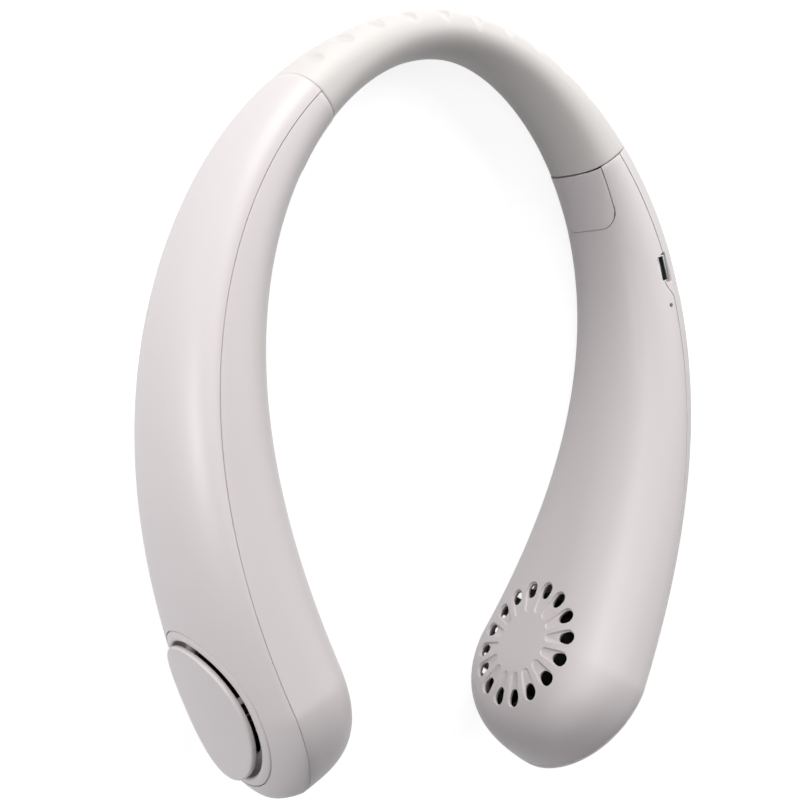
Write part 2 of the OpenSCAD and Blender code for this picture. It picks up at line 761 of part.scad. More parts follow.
module rotor_yoke(side) {
    color(steel_colour) place(side) at_fan() difference() {
        rod(yoke_r, rotor_low, yoke_top);
        rod(yoke_r - yoke_t, rotor_low - over, yoke_top - yoke_t);
        rod(shaft_r, rotor_low - over, yoke_top + over);
    }
}

module rotor_magnet(side) {
    color(magnet_colour) place(side) at_fan()
        ring(magnet_r, magnet_r - magnet_t, rotor_low + rotor_gap, yoke_top - yoke_t - rotor_gap);
}

module rotor_shaft(side) {
    color(steel_colour) place(side) at_fan() rod(shaft_r, base_top, yoke_top);
}

module tooth() {
    translate([(tube_r + stator_r) / 2, 0, (core_low + core_top) / 2])
        cube([stator_r - tube_r - shoe_t, tooth_w, core_h], center = true);
}

module stator_core(side) {
    shoe_turn = 360 / tooth_count * 0.8;
    color(steel_colour) place(side) at_fan() {
        ring(tube_r + shoe_t, tube_r, core_low, core_top);
        for (i = [0:tooth_count - 1]) rotate(360 * i / tooth_count) {
            translate([tube_r + shoe_t / 2, -tooth_w / 2, core_low])
                cube([stator_r - tube_r - shoe_t, tooth_w, core_h]);
            translate([0, 0, core_low]) rotate(-shoe_turn / 2) rotate_extrude(angle = shoe_turn, $fn = round_fn)
                translate([stator_r - shoe_t, 0]) square([shoe_t, core_h]);
        }
    }
}

module stator_coils(side) {
    start = tube_r + shoe_t + shaft_gap;
    len = stator_r - shoe_t - shaft_gap - start - coil_t / 2;
    color(copper_colour) place(side) at_fan() for (i = [0:tooth_count - 1]) rotate(360 * i / tooth_count)
        difference() {
            translate([start, -tooth_w / 2 - coil_t, core_low - coil_t])
                cube([len, tooth_w + 2 * coil_t, core_h + 2 * coil_t]);
            translate([start - over, -tooth_w / 2, core_low]) cube([len + 2 * over, tooth_w, core_h]);
        }
}

module motor_base(side) {
    color(dark_colour) place(side) at_fan() difference() {
        union() {
            rod(base_r, seat_top, base_top);
            rod(tube_r, base_top, base_top + tube_len);
        }
        rod(sleeve_r, base_top, base_top + tube_len + over);
        for (x = [-1, 0, 1]) rotate(120 * x) translate([motor_screw_ring, 0, 0]) motor_screw(over);
    }
}

module sleeve_bearing(side) {
    color(brass_colour) place(side) at_fan()
        ring(sleeve_r, shaft_r + shaft_gap, base_top, base_top + tube_len);
}

// A countersunk screw whose head is flush with the motor base
module motor_screw(above) {
    rod(motor_screw_r, bowl_floor, base_top);
    rotate_extrude($fn = round_fn) polygon([[0, base_top - motor_screw_r], [motor_screw_r, base_top - motor_screw_r],
        [2 * motor_screw_r, base_top], [2 * motor_screw_r, base_top + above], [0, base_top + above]]);
}

module motor_screws(side) {
    color(steel_colour) place(side) at_fan()
        for (x = [-1, 0, 1]) rotate(120 * x) translate([motor_screw_ring, 0, 0]) motor_screw(shaft_gap);
}

module band_anchor(side) {
    color(dark_colour) place(side) difference() {
        at_run(junction_run) {
            translate([rotor_gap, -anchor_in, -anchor_half_h])
                cube([anchor_len, anchor_in + anchor_out, 2 * anchor_half_h]);
            translate([-tongue_len, -tongue_low, -tongue_half_h])
                cube([tongue_len + 2 * rotor_gap, tongue_low + strip_t / 2, 2 * tongue_half_h]);
        }
        at_anchor_screws() {
            rod(anchor_screw_r + screw_gap, -anchor_in - over, anchor_out + over);
            rod(2 * anchor_screw_r + screw_gap, -anchor_in - over, -anchor_in + wall);
        }
        for (z = [-wire_z, wire_z]) wire(junction_run - tongue_len - over, junction_run + anchor_len + over,
            wire_r + rotor_gap / 2, z, function(s) wire_n);
    }
}

module anchor_screws(side) {
    color(steel_colour) place(side) at_anchor_screws() {
        rod(anchor_screw_r, -anchor_in + wall, anchor_out + wall - screw_gap);
        rod(2 * anchor_screw_r, -anchor_in + wall / 2, -anchor_in + wall);
    }
}

module strap_cover(side) {
    start = junction_run + cover_gap;
    angles = [for (j = [0:skin_steps]) 90 - 180 * j / skin_steps];
    color(housing_colour) place(side) intersection() {
        strip_loft([for (i = [0:cover_steps]) let(s = start + (cover_len + cover_gap) * i / cover_steps) concat(
            [for (w = angles) in_skin(s, cover_t - cover_proud, w, 0)],
            [for (w = angles) in_skin(s, -cover_proud, -w, 0)])]);
        strap_prism(0, cover_gap);
    }
}

module battery(side) {
    color(cell_colour) place(side) at_run(cell_run)
        plate(cell_len / 2, cell_half_h, cell_t / 4, -cell_in - cell_t / 2, -cell_in + cell_t / 2);
}

function lead_level(s) = -(in_at(s) - wall - 2 * wire_r);
function near_level(s) = -anchor_out;

module motor_lead(side) {
    start = side > 0 ? port_run + board_len / 2 + wall : junction_run + anchor_len + wall;
    color(lead_colour) place(side)
        wire(start, fan_run - base_r, wire_r, lead_z, function(s) lead_level(s));
}

module battery_lead(side) {
    start = side > 0 ? port_run + board_len / 2 + seam_gap : junction_run + anchor_len + wall;
    color(lead_colour) place(side) for (z = [-wire_z, wire_z])
        wire(start, cell_run - cell_len / 2 - lead_back, wire_r, z, function(s) near_level(s));
}

module divider(side) {
    inset = wall + seam_gap;
    angles = [for (j = [0:skin_steps]) 90 - 180 * j / skin_steps];
    color(dark_colour) place(side) difference() {
        loft([for (s = [divider_run - divider_t / 2, divider_run + divider_t / 2]) concat(
            [for (w = angles) out_skin(s, inset, w, 0)],
            [for (j = [skin_steps - 1:-1:1]) in_skin(s, inset, angles[j], 0)])]);
        at_run(divider_run) translate([-divider_t, lead_level(divider_run), lead_z]) rotate([0, 90, 0])
            cylinder(h = 2 * divider_t, r = 2 * wire_r, $fn = round_fn);
    }
}

// One closed outline of the band's section at run s
function band_ring(s, points) = [for (k = [0:points - 1]) let(w = 90 - 360 * k / points)
    cos(w) >= 0 ? out_skin(s, 0, w, 0) : in_skin(s, 0, w, 0)];
function channel_ring(s, half_n, half_z) = [at(s, half_n, half_z), at(s, half_n, -half_z),
    at(s, -half_n, -half_z), at(s, -half_n, half_z)];
function band_run(i, reach) = reach * (2 * i / band_steps - 1);

// Distance of the band's outer face from the seam line
function band_face(s, z) = out_at(s) * pow(1 - pow(abs(z) / half_h_at(s), out_square), 1 / out_bow);

module band() {
    reach = junction_run - band_gap;
    ball_r = (dimple_r * dimple_r + dimple_deep * dimple_deep) / (2 * dimple_deep);
    color(band_colour) place(1) difference() {
        loft([for (i = [0:band_steps]) band_ring(band_run(i, reach), band_points)]);
        loft([for (i = [0:band_steps])
            channel_ring(band_run(i, reach + over), channel_half_w, channel_half_h)]);
        for (i = [0:dimple_count - 1], side = [-1, 1]) {
            s = (i - (dimple_count - 1) / 2) * dimple_pitch;
            fall = band_face(s, dimple_z - over) - band_face(s, dimple_z + over);
            at_run(s) translate([0, band_face(s, dimple_z), side * dimple_z])
                rotate([side * atan2(fall, 2 * over), 0, 0])
                translate([0, ball_r - dimple_deep, 0]) sphere(ball_r, $fn = round_fn);
        }
    }
}

module band_strip() {
    reach = junction_run - tongue_len - rotor_gap;
    color(steel_colour) place(1)
        loft([for (i = [0:band_steps]) channel_ring(band_run(i, reach), strip_t / 2, strip_half_h)]);
}

module band_wires() {
    reach = junction_run + anchor_len + wall / 2;
    color(lead_colour) place(1) for (z = [-wire_z, wire_z])
        wire(-reach, reach, wire_r, z, function(s) wire_n);
}

module main_board() {
    color(board_colour) place(1) at_run(port_run) difference() {
        plate(board_len / 2, board_half_h, board_t, board_in, board_out);
        for (x = [-board_screw_x, board_screw_x]) translate([x, 0, -board_screw_z]) rotate([-90, 0, 0])
            rod(board_screw_r + screw_gap, board_in - over, board_out + over);
    }
}

module board_screws() {
    color(steel_colour) place(1) at_run(port_run)
        for (x = [-board_screw_x, board_screw_x]) translate([x, 0, -board_screw_z]) rotate([-90, 0, 0]) {
            rod(board_screw_r, board_in - 2 * wall, board_out);
            rod(2 * board_screw_r, board_out, board_out + board_screw_r);
        }
}

// Controller, charging chip and coil on the inner face of the board
module board_chips() {
    color(dark_colour) place(1) at_run(port_run) {
        translate([-board_len / 4, 0, 0]) plate(switch_half_w, switch_half_w, shaft_gap, board_in - board_t, board_in);
        translate([board_len / 4, 0, switch_half_w])
            plate(switch_half_w / 2, switch_half_w / 2, shaft_gap, board_in - board_t, board_in);
        translate([board_len / 4, 0, -switch_half_w]) rotate([-90, 0, 0])
            rod(switch_half_w / 2, board_in - 2 * board_t, board_in);
    }
}

module port_shell() {
    color(steel_colour) place(1) at_run(port_run) translate([0, -port_in, port_top - socket_deep]) difference() {
        translate([-socket_len / 2, -socket_w / 2, 0]) cube([socket_len, socket_w, socket_deep]);
        translate([-socket_len / 2 + socket_t, -socket_w / 2 + socket_t, socket_t])
            cube([socket_len - 2 * socket_t, socket_w - 2 * socket_t, socket_deep]);
    }
}

module port_tongue() {
    color(dark_colour) place(1) at_run(port_run)
        translate([-socket_len / 4, -port_in, port_top - socket_deep + socket_t])
            cube([socket_len / 2, 2 * socket_t, socket_deep - 4 * socket_t]);
}

module push_switch() {
    color(dark_colour) place(1) at_run(port_run) difference() {
        plate(switch_half_w, switch_half_w, shaft_gap, board_out, switch_top);
        rotate([-90, 0, 0]) rod(plunger_r + shaft_gap, board_out + 2 * socket_t, switch_top + over);
    }
}

module switch_plunger() {
    color(steel_colour) place(1) at_run(port_run) rotate([-90, 0, 0])
        rod(plunger_r, board_out + 4 * socket_t + button_travel, button_low);
}

module power_button() {
    color(housing_colour) place(1) at_run(port_run) rotate([-90, 0, 0]) {
        rod(button_r, button_low, button_top - button_edge);
        rod(button_r - button_edge, button_top - button_edge, button_top);
        rotate_extrude($fn = round_fn) intersection() {
            translate([button_r - button_edge, button_top - button_edge]) circle(button_edge, $fn = round_fn);
            translate([0, button_top - button_edge]) square([button_r, button_edge]);
        }
        rod(button_r + button_rim, button_low, button_low + button_rim);
    }
}

module status_light() {
    color(glow_colour) place(1) at_run(port_run) translate([light_run - port_run - light_r, board_out, board_half_h - 2 * light_r])
        cube([2 * light_r, 2 * light_r, 2 * light_r]);
}

module light_window() {
    color(glow_colour) place(1) at_run(light_run) translate([0, -light_in, 0])
        rod(light_r, board_half_h + light_r, half_h_at(light_run));
}

module right_outer_shell() { outer_shell(1); }
module right_inner_shell() { inner_shell(1); }
module right_intake_dish() { intake_dish(1); }
module right_intake_cover() { intake_cover(1); }
module right_impeller() { impeller(1); }
module right_rotor_yoke() { rotor_yoke(1); }
module right_rotor_magnet() { rotor_magnet(1); }
module right_rotor_shaft() { rotor_shaft(1); }
module right_stator_core() { stator_core(1); }
module right_stator_coils() { stator_coils(1); }
module right_motor_base() { motor_base(1); }
module right_sleeve_bearing() { sleeve_bearing(1); }
module right_motor_screws() { motor_screws(1); }
module right_band_anchor() { band_anchor(1); }
module right_anchor_screws() { anchor_screws(1); }
module right_strap_cover() { strap_cover(1); }
module right_battery() { battery(1); }
module right_motor_lead() { motor_lead(1); }
module right_battery_lead() { battery_lead(1); }
module right_divider() { divider(1); }
module left_outer_shell() { outer_shell(-1); }
module left_inner_shell() { inner_shell(-1); }
module left_intake_dish() { intake_dish(-1); }
module left_intake_cover() { intake_cover(-1); }
module left_impeller() { impeller(-1); }
module left_rotor_yoke() { rotor_yoke(-1); }
module left_rotor_magnet() { rotor_magnet(-1); }
module left_rotor_shaft() { rotor_shaft(-1); }
module left_stator_core() { stator_core(-1); }
module left_stator_coils() { stator_coils(-1); }
module left_motor_base() { motor_base(-1); }
module left_sleeve_bearing() { sleeve_bearing(-1); }
module left_motor_screws() { motor_screws(-1); }
module left_band_anchor() { band_anchor(-1); }
module left_anchor_screws() { anchor_screws(-1); }
module left_strap_cover() { strap_cover(-1); }
module left_battery() { battery(-1); }
module left_motor_lead() { motor_lead(-1); }
module left_battery_lead() { battery_lead(-1); }
module left_divider() { divider(-1); }

right_outer_shell();
right_inner_shell();
right_intake_dish();
right_intake_cover();
right_impeller();
right_rotor_yoke();
right_rotor_magnet();
right_rotor_shaft();
right_stator_core();
right_stator_coils();
right_motor_base();
right_sleeve_bearing();
right_motor_screws();
right_band_anchor();
right_anchor_screws();
right_strap_cover();
right_battery();
right_motor_lead();
right_battery_lead();
right_divider();
left_outer_shell();
left_inner_shell();
left_intake_dish();
left_intake_cover();
left_impeller();
left_rotor_yoke();
left_rotor_magnet();
left_rotor_shaft();
left_stator_core();
left_stator_coils();
left_motor_base();
left_sleeve_bearing();
left_motor_screws();
left_band_anchor();
left_anchor_screws();
left_strap_cover();
left_battery();
left_motor_lead();
left_battery_lead();
left_divider();
band();
band_strip();
band_wires();
main_board();
board_chips();
board_screws();
port_shell();
port_tongue();
push_switch();
switch_plunger();
power_button();
status_light();
light_window();
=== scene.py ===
# %% [markdown]
# # Dressing a neck fan
# The fan is a U: a soft band behind the neck, two hollow arms, and a round fan head at the end
# of each arm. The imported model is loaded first. It gives the solids, the joints and the sizes,
# and everything made below is fitted to it, in metres. Sizes in this script are in millimetres,
# unless a comment says something else, and `MM` turns them to metres.

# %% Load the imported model
import math
import bpy
import bmesh
from mathutils import Matrix, Vector


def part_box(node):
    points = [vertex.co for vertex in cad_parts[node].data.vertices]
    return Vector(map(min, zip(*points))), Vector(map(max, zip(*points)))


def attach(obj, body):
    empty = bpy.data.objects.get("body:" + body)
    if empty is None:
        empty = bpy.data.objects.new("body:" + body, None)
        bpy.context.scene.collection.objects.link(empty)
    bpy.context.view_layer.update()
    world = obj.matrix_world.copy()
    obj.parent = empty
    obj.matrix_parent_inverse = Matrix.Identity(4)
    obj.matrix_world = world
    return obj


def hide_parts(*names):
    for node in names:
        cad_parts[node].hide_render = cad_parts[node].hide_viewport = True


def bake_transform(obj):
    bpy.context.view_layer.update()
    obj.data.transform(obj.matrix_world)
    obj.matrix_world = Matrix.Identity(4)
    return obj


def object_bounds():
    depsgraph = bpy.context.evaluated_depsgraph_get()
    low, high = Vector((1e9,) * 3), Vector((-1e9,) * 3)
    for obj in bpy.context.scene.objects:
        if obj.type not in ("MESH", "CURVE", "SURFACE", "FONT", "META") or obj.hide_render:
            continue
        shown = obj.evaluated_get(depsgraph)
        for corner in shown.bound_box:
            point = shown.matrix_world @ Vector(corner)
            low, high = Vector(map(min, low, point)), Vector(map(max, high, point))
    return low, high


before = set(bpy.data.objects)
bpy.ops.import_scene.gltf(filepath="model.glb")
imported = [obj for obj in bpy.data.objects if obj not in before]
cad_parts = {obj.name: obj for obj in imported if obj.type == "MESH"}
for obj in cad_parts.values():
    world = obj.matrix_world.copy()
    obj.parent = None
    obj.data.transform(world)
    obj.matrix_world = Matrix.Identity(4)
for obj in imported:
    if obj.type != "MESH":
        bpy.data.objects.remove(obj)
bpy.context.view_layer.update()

MM = 0.001
MERGE = 0.002 * MM  # points closer than this become one
SIDES = {"right": 1, "left": -1}

# %% [markdown]
# ## The curve that everything follows
# Both shells of an arm meet at a seam line. A curve object could be drawn for it by hand, but its
# heading is a simple formula of the run along the arm, so the points are summed from that. A
# place on the fan is then a run `s` from the crown, a distance `n` outwards and a height `z`.

# %% The seam line
ARM_RUN = 243.0  # from the crown, the middle of the band, to the tip
JUNCTION_RUN = 56.4  # where band and arm meet
DISH_R = 21.8  # the round intake dish in the head
TIP_LEN = DISH_R + 7.1
HEAD_RUN = ARM_RUN - TIP_LEN  # where the closing of the tip starts
FAN_RUN = HEAD_RUN + 0.4  # the fan's axis
STEPS = 240
STRIDE = ARM_RUN / STEPS
TURN, EASING, CROWN_TURN = 186, 73, 9.4  # degrees
CROWN_SHARE = 0.2  # the part of the run in which the crown makes its extra turn
CROWN_OUT = 5.8  # depth of the outer skin at the crown
REST_Z = 29.6  # height of the seam line over the frame's ground


def heading(s):
    """How far the curve has turned at run s, in radians."""
    u = s / ARM_RUN
    crown = 1 - max(0.0, 1 - u / CROWN_SHARE) ** 3
    return math.radians(TURN * u - EASING * u * u + CROWN_TURN * crown)


path = [Vector((0, 0))]
for i in range(STEPS):
    a = heading((i + 0.5) * STRIDE)
    path.append(path[-1] + STRIDE * Vector((math.cos(a), -math.sin(a))))

# The curve starts at y = 0 on the crown, and the frame's origin is at the middle of the box
MID_Y = -0.5 * (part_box("band")[1][1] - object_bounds()[0][1]) / MM + CROWN_OUT


def at(s, n, z):
    """The point at run s, n outwards and z up from the seam line, in metres."""
    t = min(abs(s), ARM_RUN) / STRIDE
    i = min(int(t), STEPS - 1)
    p = path[i].lerp(path[i + 1], t - i)
    a = heading(min(abs(s), ARM_RUN))
    x = p.x + n * math.sin(a)
    y = p.y + n * math.cos(a)
    return Vector((math.copysign(x, s), y - MID_Y, z + REST_Z)) * MM


print("middle of the outline at", round(MID_Y, 2), "mm")
print("tip at", tuple(round(v / MM, 1) for v in at(ARM_RUN, 0, 0)), "mm")

# %% [markdown]
# ## Depths and heights along the fan
# Outside the seam the arm is a shallow panel, inside it is a deep bowl. Both get deeper and
# higher from the band to the head and close to a point at the tip. Cross sections could be
# modelled one by one and skinned, but smooth formulas of the run keep every section in step.

# %% Depths, half height and the closing of the tip
WALL = 1.8
HALF_GAP = 0.1  # half of the seam between the two shells
ARM_OUT, HEAD_OUT = 7.6, 9.3
CROWN_IN, HEAD_IN = 6.3, 21.9
ARM_SHARE = 0.4  # where, between crown and head, the arm's own values hold
CROWN_HALF_H, ARM_GROWTH, HEAD_GROWTH = 9.4, 17.7, 2.5
ARM_POWER, HEAD_POWER = 1.2, 4  # the second growth comes late, at the head
CLOSE_POWER, CLOSE_BOW = 2.6, 0.35


def ease(u):
    return u * u * (3 - 2 * u)


def share(s):
    """How far run s is on the way from the crown to the head, from 0 to 1."""
    return min(abs(s) / HEAD_RUN, 1)


def graded(values, s):
    """A value at run s that eases from the crown to the arm and on to the head."""
    crown, arm, head = values
    u = share(s)
    if u < ARM_SHARE:
        return crown + (arm - crown) * ease(u / ARM_SHARE)
    return arm + (head - arm) * ease((u - ARM_SHARE) / (1 - ARM_SHARE))


def out_depth(s):
    return graded((CROWN_OUT, ARM_OUT, HEAD_OUT), s)


def in_depth(s):
    return CROWN_IN + (HEAD_IN - CROWN_IN) * ease(share(s))


def half_height(s):
    u = share(s)
    return CROWN_HALF_H + ARM_GROWTH * u ** ARM_POWER + HEAD_GROWTH * u ** HEAD_POWER


def closing(s):
    """What is left of depth and of height at run s, as the tip closes."""
    e = min(max((abs(s) - HEAD_RUN) / TIP_LEN, 0), 1)
    return max(0, 1 - e ** CLOSE_POWER) ** CLOSE_BOW, math.sqrt(1 - e * e)


print("half height at the head", round(half_height(HEAD_RUN), 2), "mm")

# %% [markdown]
# ## The two skins
# Both sections are superellipses: one power sets how flat the face is, the other how square the
# shoulders are. The band and the head are rounder than the arm, so they have powers of their
# own. A moulded shell like this is usually drawn as a loft between a few such sections.

# %% Points on the skins
# Powers of the sections at the crown, in the arm and at the head
OUT_BOW, OUT_SQUARE = (1.8, 1.8, 1.25), (3, 3, 2.2)
IN_BOW, IN_SQUARE = (2.1, 3, 3.2), (2.2, 3.6, 2.8)


def section(s, w, outer):
    """n and z of a skin at run s: w turns from +90 degrees at the top to -90 at the bottom."""
    close_n, close_z = closing(s)
    bow, square = (OUT_BOW, OUT_SQUARE) if outer else (IN_BOW, IN_SQUARE)
    deep = out_depth(s) if outer else -in_depth(s)
    n = deep * close_n * abs(math.cos(w)) ** (2 / graded(bow, s))
    z = math.copysign(abs(math.sin(w)) ** (2 / graded(square, s)), math.sin(w))
    return n, z * half_height(s) * close_z


def face_n(s, z, outer):
    """How far a skin is from the seam line at run s and height z."""
    close_n, close_z = closing(s)
    bow, square = (OUT_BOW, OUT_SQUARE) if outer else (IN_BOW, IN_SQUARE)
    r = min(1, abs(z) / max(half_height(s) * close_z, 1e-6))
    n = close_n * (1 - r ** graded(square, s)) ** (1 / graded(bow, s))
    return HALF_GAP + out_depth(s) * n if outer else -HALF_GAP - in_depth(s) * n


def section_z(s, n):
    """Height of the arm's outline at a distance n from the seam line."""
    bow, square = (OUT_BOW, OUT_SQUARE) if n > 0 else (IN_BOW, IN_SQUARE)
    r = min(1, n / out_depth(s) if n > 0 else -n / in_depth(s))
    flat = (1 - r ** graded(bow, s)) ** (1 / graded(square, s))
    return half_height(s) * closing(s)[1] * flat


print("depths at the head", round(face_n(HEAD_RUN, 0, True), 1), "mm outwards and",
      round(-face_n(HEAD_RUN, 0, False), 1), "mm inwards")

# %% [markdown]
# ## The camera
# The photograph was matched by fitting a camera and the curve together, so the camera has a
# plain answer: a place, three axes and a focal length in pixels of an 800 pixel frame. It looks
# down on the lying U from above the left arm, rolled so that the band is at the top.

# %% Place the camera
FRAME_PX = 800
FOCAL_PX = 1392.2
SENSOR = 36
CAMERA_AT = Vector((-213.95, -103.33 - MID_Y, 307.90 + REST_Z)) * MM
CAMERA_X = Vector((0.83356, 0.06291, 0.54883))
CAMERA_Y = Vector((-0.05929, 0.99794, -0.02435))
CAMERA_Z = CAMERA_X.cross(CAMERA_Y)

eye = bpy.data.cameras.new("photo_camera")
eye.sensor_width = SENSOR
eye.lens = FOCAL_PX / FRAME_PX * eye.sensor_width
eye.clip_start = 10 * MM
camera = bpy.data.objects.new("photo_camera", eye)
turn = Matrix((CAMERA_X, CAMERA_Y, CAMERA_Z)).transposed().to_4x4()
camera.matrix_world = Matrix.Translation(CAMERA_AT) @ turn
bpy.context.collection.objects.link(camera)
bpy.context.scene.camera = camera
print("lens", round(eye.lens, 1), "mm")

# %% [markdown]
# ## Helpers for materials
# Colours are written as the hex values that a picture editor shows, and one function turns them
# to the linear values that the shader works in. Another adds a node with its settings and links.
# Patterns read Object coordinates, which are metres here, so a scale is one over a real size.

# %% Colours and nodes
MIX_A, MIX_B, MIX_RESULT = 6, 7, 2  # a Mix node's colour sockets, whose names aren't unique


def srgb(code):
    values = []
    for i in (0, 2, 4):
        c = int(code[i:i + 2], 16) / 255
        values.append(c / 12.92 if c <= 0.04045 else ((c + 0.055) / 1.055) ** 2.4)
    return (*values, 1)


def add(tree, kind, links=None, **settings):
    """A node with its settings; links give an input's name and the socket that feeds it."""
    node = tree.nodes.new(kind)
    for key, value in settings.items():
        if key in node.inputs:
            node.inputs[key].default_value = value
        else:
            setattr(node, key, value)
    for key, socket in (links or {}).items():
        tree.links.new(socket, node.inputs[key])
    return node


def noise(tree, place, size, detail):
    """Cloudy noise whose features are this many millimetres across."""
    node = add(tree, "ShaderNodeTexNoise", {"Vector": place}, Scale=1 / (size * MM), Detail=detail)
    return node.outputs["Fac"]


def spread(tree, value, low, high, start=0, end=1):
    """Maps a value between start and end to one between low and high."""
    limits = {"From Min": start, "From Max": end, "To Min": low, "To Max": high}
    return add(tree, "ShaderNodeMapRange", {"Value": value}, **limits).outputs["Result"]


def mix(tree, factor, first, second):
    node = add(tree, "ShaderNodeMix", {"Factor": factor}, data_type="RGBA")
    node.inputs[MIX_A].default_value = first
    node.inputs[MIX_B].default_value = second
    return node.outputs[MIX_RESULT]


def new_material(name):
    material = bpy.data.materials.new(name)
    material.use_nodes = True
    tree = material.node_tree
    tree.nodes.clear()
    output = add(tree, "ShaderNodeOutputMaterial")
    place = add(tree, "ShaderNodeTexCoord").outputs["Object"]
    return material, tree, output, place


print("colour E1DAD9 is", tuple(round(v, 3) for v in srgb("E1DAD9")[:3]), "in linear values")

# %% [markdown]
# ## Moulded plastic
# The housings are ABS, injected into a mould whose steel was spark eroded to a very fine grain.
# That gives a satin face: broad soft reflections, no mirror, and a colour that drifts a little
# where the melt cooled unevenly. The real grain is near 0.05 mm, too fine to show at this
# distance, so it is drawn about four times coarser.

# %% Plastics from one recipe
DRIFT = 60
SATIN_SWING = 0.04
BUMP_STRENGTH = 0.3


def moulded(name, colour, shade, roughness, grain, depth, ior=1.5, coat=0.0):
    """Colour drifts to shade; the grain's size and depth are in millimetres."""
    material, tree, output, place = new_material(name)
    tint = mix(tree, noise(tree, place, DRIFT, 2), srgb(colour), srgb(shade))
    skin = noise(tree, place, grain, 3)
    satin = spread(tree, skin, roughness - SATIN_SWING, roughness + SATIN_SWING)
    bump = add(tree, "ShaderNodeBump", {"Height": skin},
               Strength=BUMP_STRENGTH, Distance=depth * MM)
    shader = add(tree, "ShaderNodeBsdfPrincipled",
                 {"Base Color": tint, "Roughness": satin, "Normal": bump.outputs["Normal"]},
                 IOR=ior)
    shader.inputs["Coat Weight"].default_value = coat
    tree.links.new(shader.outputs["BSDF"], output.inputs["Surface"])
    return material


housing = moulded("satin_abs", "E1DAD9", "DDD6D5", 0.42, 0.22, 0.012)
black_abs = moulded("black_abs", "1B1B1D", "222225", 0.5, 0.3, 0.02)
print("made", housing.name, "and", black_abs.name)

# %% [markdown]
# ## Silicone
# The band is cast silicone, which is warmer than the housings and more matt. Light enters it a
# little before it comes back, so its shadows are softer than those of plastic. A small amount of
# subsurface scattering gives that, with a radius of about a millimetre.

# %% The band's silicone
silicone = moulded("cast_silicone", "E0DDD9", "DCD8D4", 0.5, 0.35, 0.015, ior=1.41)
soft = next(n for n in silicone.node_tree.nodes if n.type == "BSDF_PRINCIPLED")
soft.inputs["Subsurface Weight"].default_value = 0.12
soft.inputs["Subsurface Radius"].default_value = (1.0, 0.8, 0.7)
soft.inputs["Subsurface Scale"].default_value = 1.0 * MM
print("made", silicone.name)

# %% [markdown]
# ## Metals
# The motor's can, its shaft, the screws and the charging socket are plated steel, drawn or
# rolled, so fine scratches run one way. Stretching a noise along one axis gives scratches. The
# same recipe, with another colour, makes the enamelled copper of the coils, the sintered bronze
# of the bearing and the laminated foil of the battery packs.

# %% Metals from one recipe
METAL_SWING = 0.08
SCRATCH_DEPTH = 0.01
DIM = 0.9
ALONG_Z, ACROSS_Z, EVEN = (1, 1, 0.08), (0.1, 0.1, 1), (1, 1, 1)  # which way scratches run


def metal(name, colour, roughness, scratch, stretch=ALONG_Z):
    """A metal with scratches of this size, or with an even grain where nothing is stretched."""
    material, tree, output, place = new_material(name)
    lay = add(tree, "ShaderNodeMapping", {"Vector": place}, Scale=stretch)
    grain = noise(tree, lay.outputs["Vector"], scratch, 4)
    rough = spread(tree, grain, roughness - METAL_SWING, roughness + METAL_SWING)
    bump = add(tree, "ShaderNodeBump", {"Height": grain},
               Strength=BUMP_STRENGTH, Distance=SCRATCH_DEPTH * MM)
    bright = srgb(colour)
    tint = mix(tree, grain, bright, tuple(DIM * c for c in bright[:3]) + (1,))
    shader = add(tree, "ShaderNodeBsdfPrincipled",
                 {"Base Color": tint, "Roughness": rough, "Normal": bump.outputs["Normal"]},
                 Metallic=1)
    tree.links.new(shader.outputs["BSDF"], output.inputs["Surface"])
    return material


plated_steel = metal("plated_steel", "B9BBBE", 0.34, 0.12)
copper_wire = metal("enamelled_copper", "B56A3C", 0.35, 0.3, ACROSS_Z)
bronze = metal("sintered_bronze", "A8844A", 0.5, 0.15, EVEN)
pouch_foil = metal("pouch_foil", "AEB4BA", 0.42, 1.5, EVEN)
ferrite = moulded("bonded_ferrite", "2B2B2E", "37373A", 0.6, 0.25, 0.03, ior=1.6)
print("made", [m.name for m in (plated_steel, copper_wire, bronze, pouch_foil, ferrite)])

# %% [markdown]
# ## Wire, board and lamp
# Wires are insulated in soft PVC, which shines a little. The circuit board is glass laminate
# under a glossy green solder mask. The status light is a clear acrylic rod that carries light
# from the board to the pinhole in the shell.

# %% The remaining materials
red_pvc = moulded("red_pvc", "A01F1B", "8E1A18", 0.36, 0.5, 0.01, ior=1.53)
black_pvc = moulded("black_pvc", "161618", "1E1E20", 0.36, 0.5, 0.01, ior=1.53)
solder_mask = moulded("solder_mask", "1D5B38", "174D2F", 0.25, 0.8, 0.01, ior=1.55, coat=0.4)
acrylic, tree, output, place = new_material("clear_acrylic")
cloud = spread(tree, noise(tree, place, 0.5, 2), 0.1, 0.25)
rod = add(tree, "ShaderNodeBsdfPrincipled", {"Roughness": cloud}, IOR=1.49)
rod.inputs["Base Color"].default_value = srgb("9FB0A8")
rod.inputs["Transmission Weight"].default_value = 0.8
tree.links.new(rod.outputs["BSDF"], output.inputs["Surface"])
print("materials:", len(bpy.data.materials))

# %% [markdown]
# ## The floor
# The fan lies on a plain floor. It rests on its two round heads and on the band, which is
# slimmer, so against the fan's own level the floor rises towards the band.

# %% A floor under the heads and the band
FLOOR_HALF = 4  # metres
FLOOR_DROP = 0.5 * MM

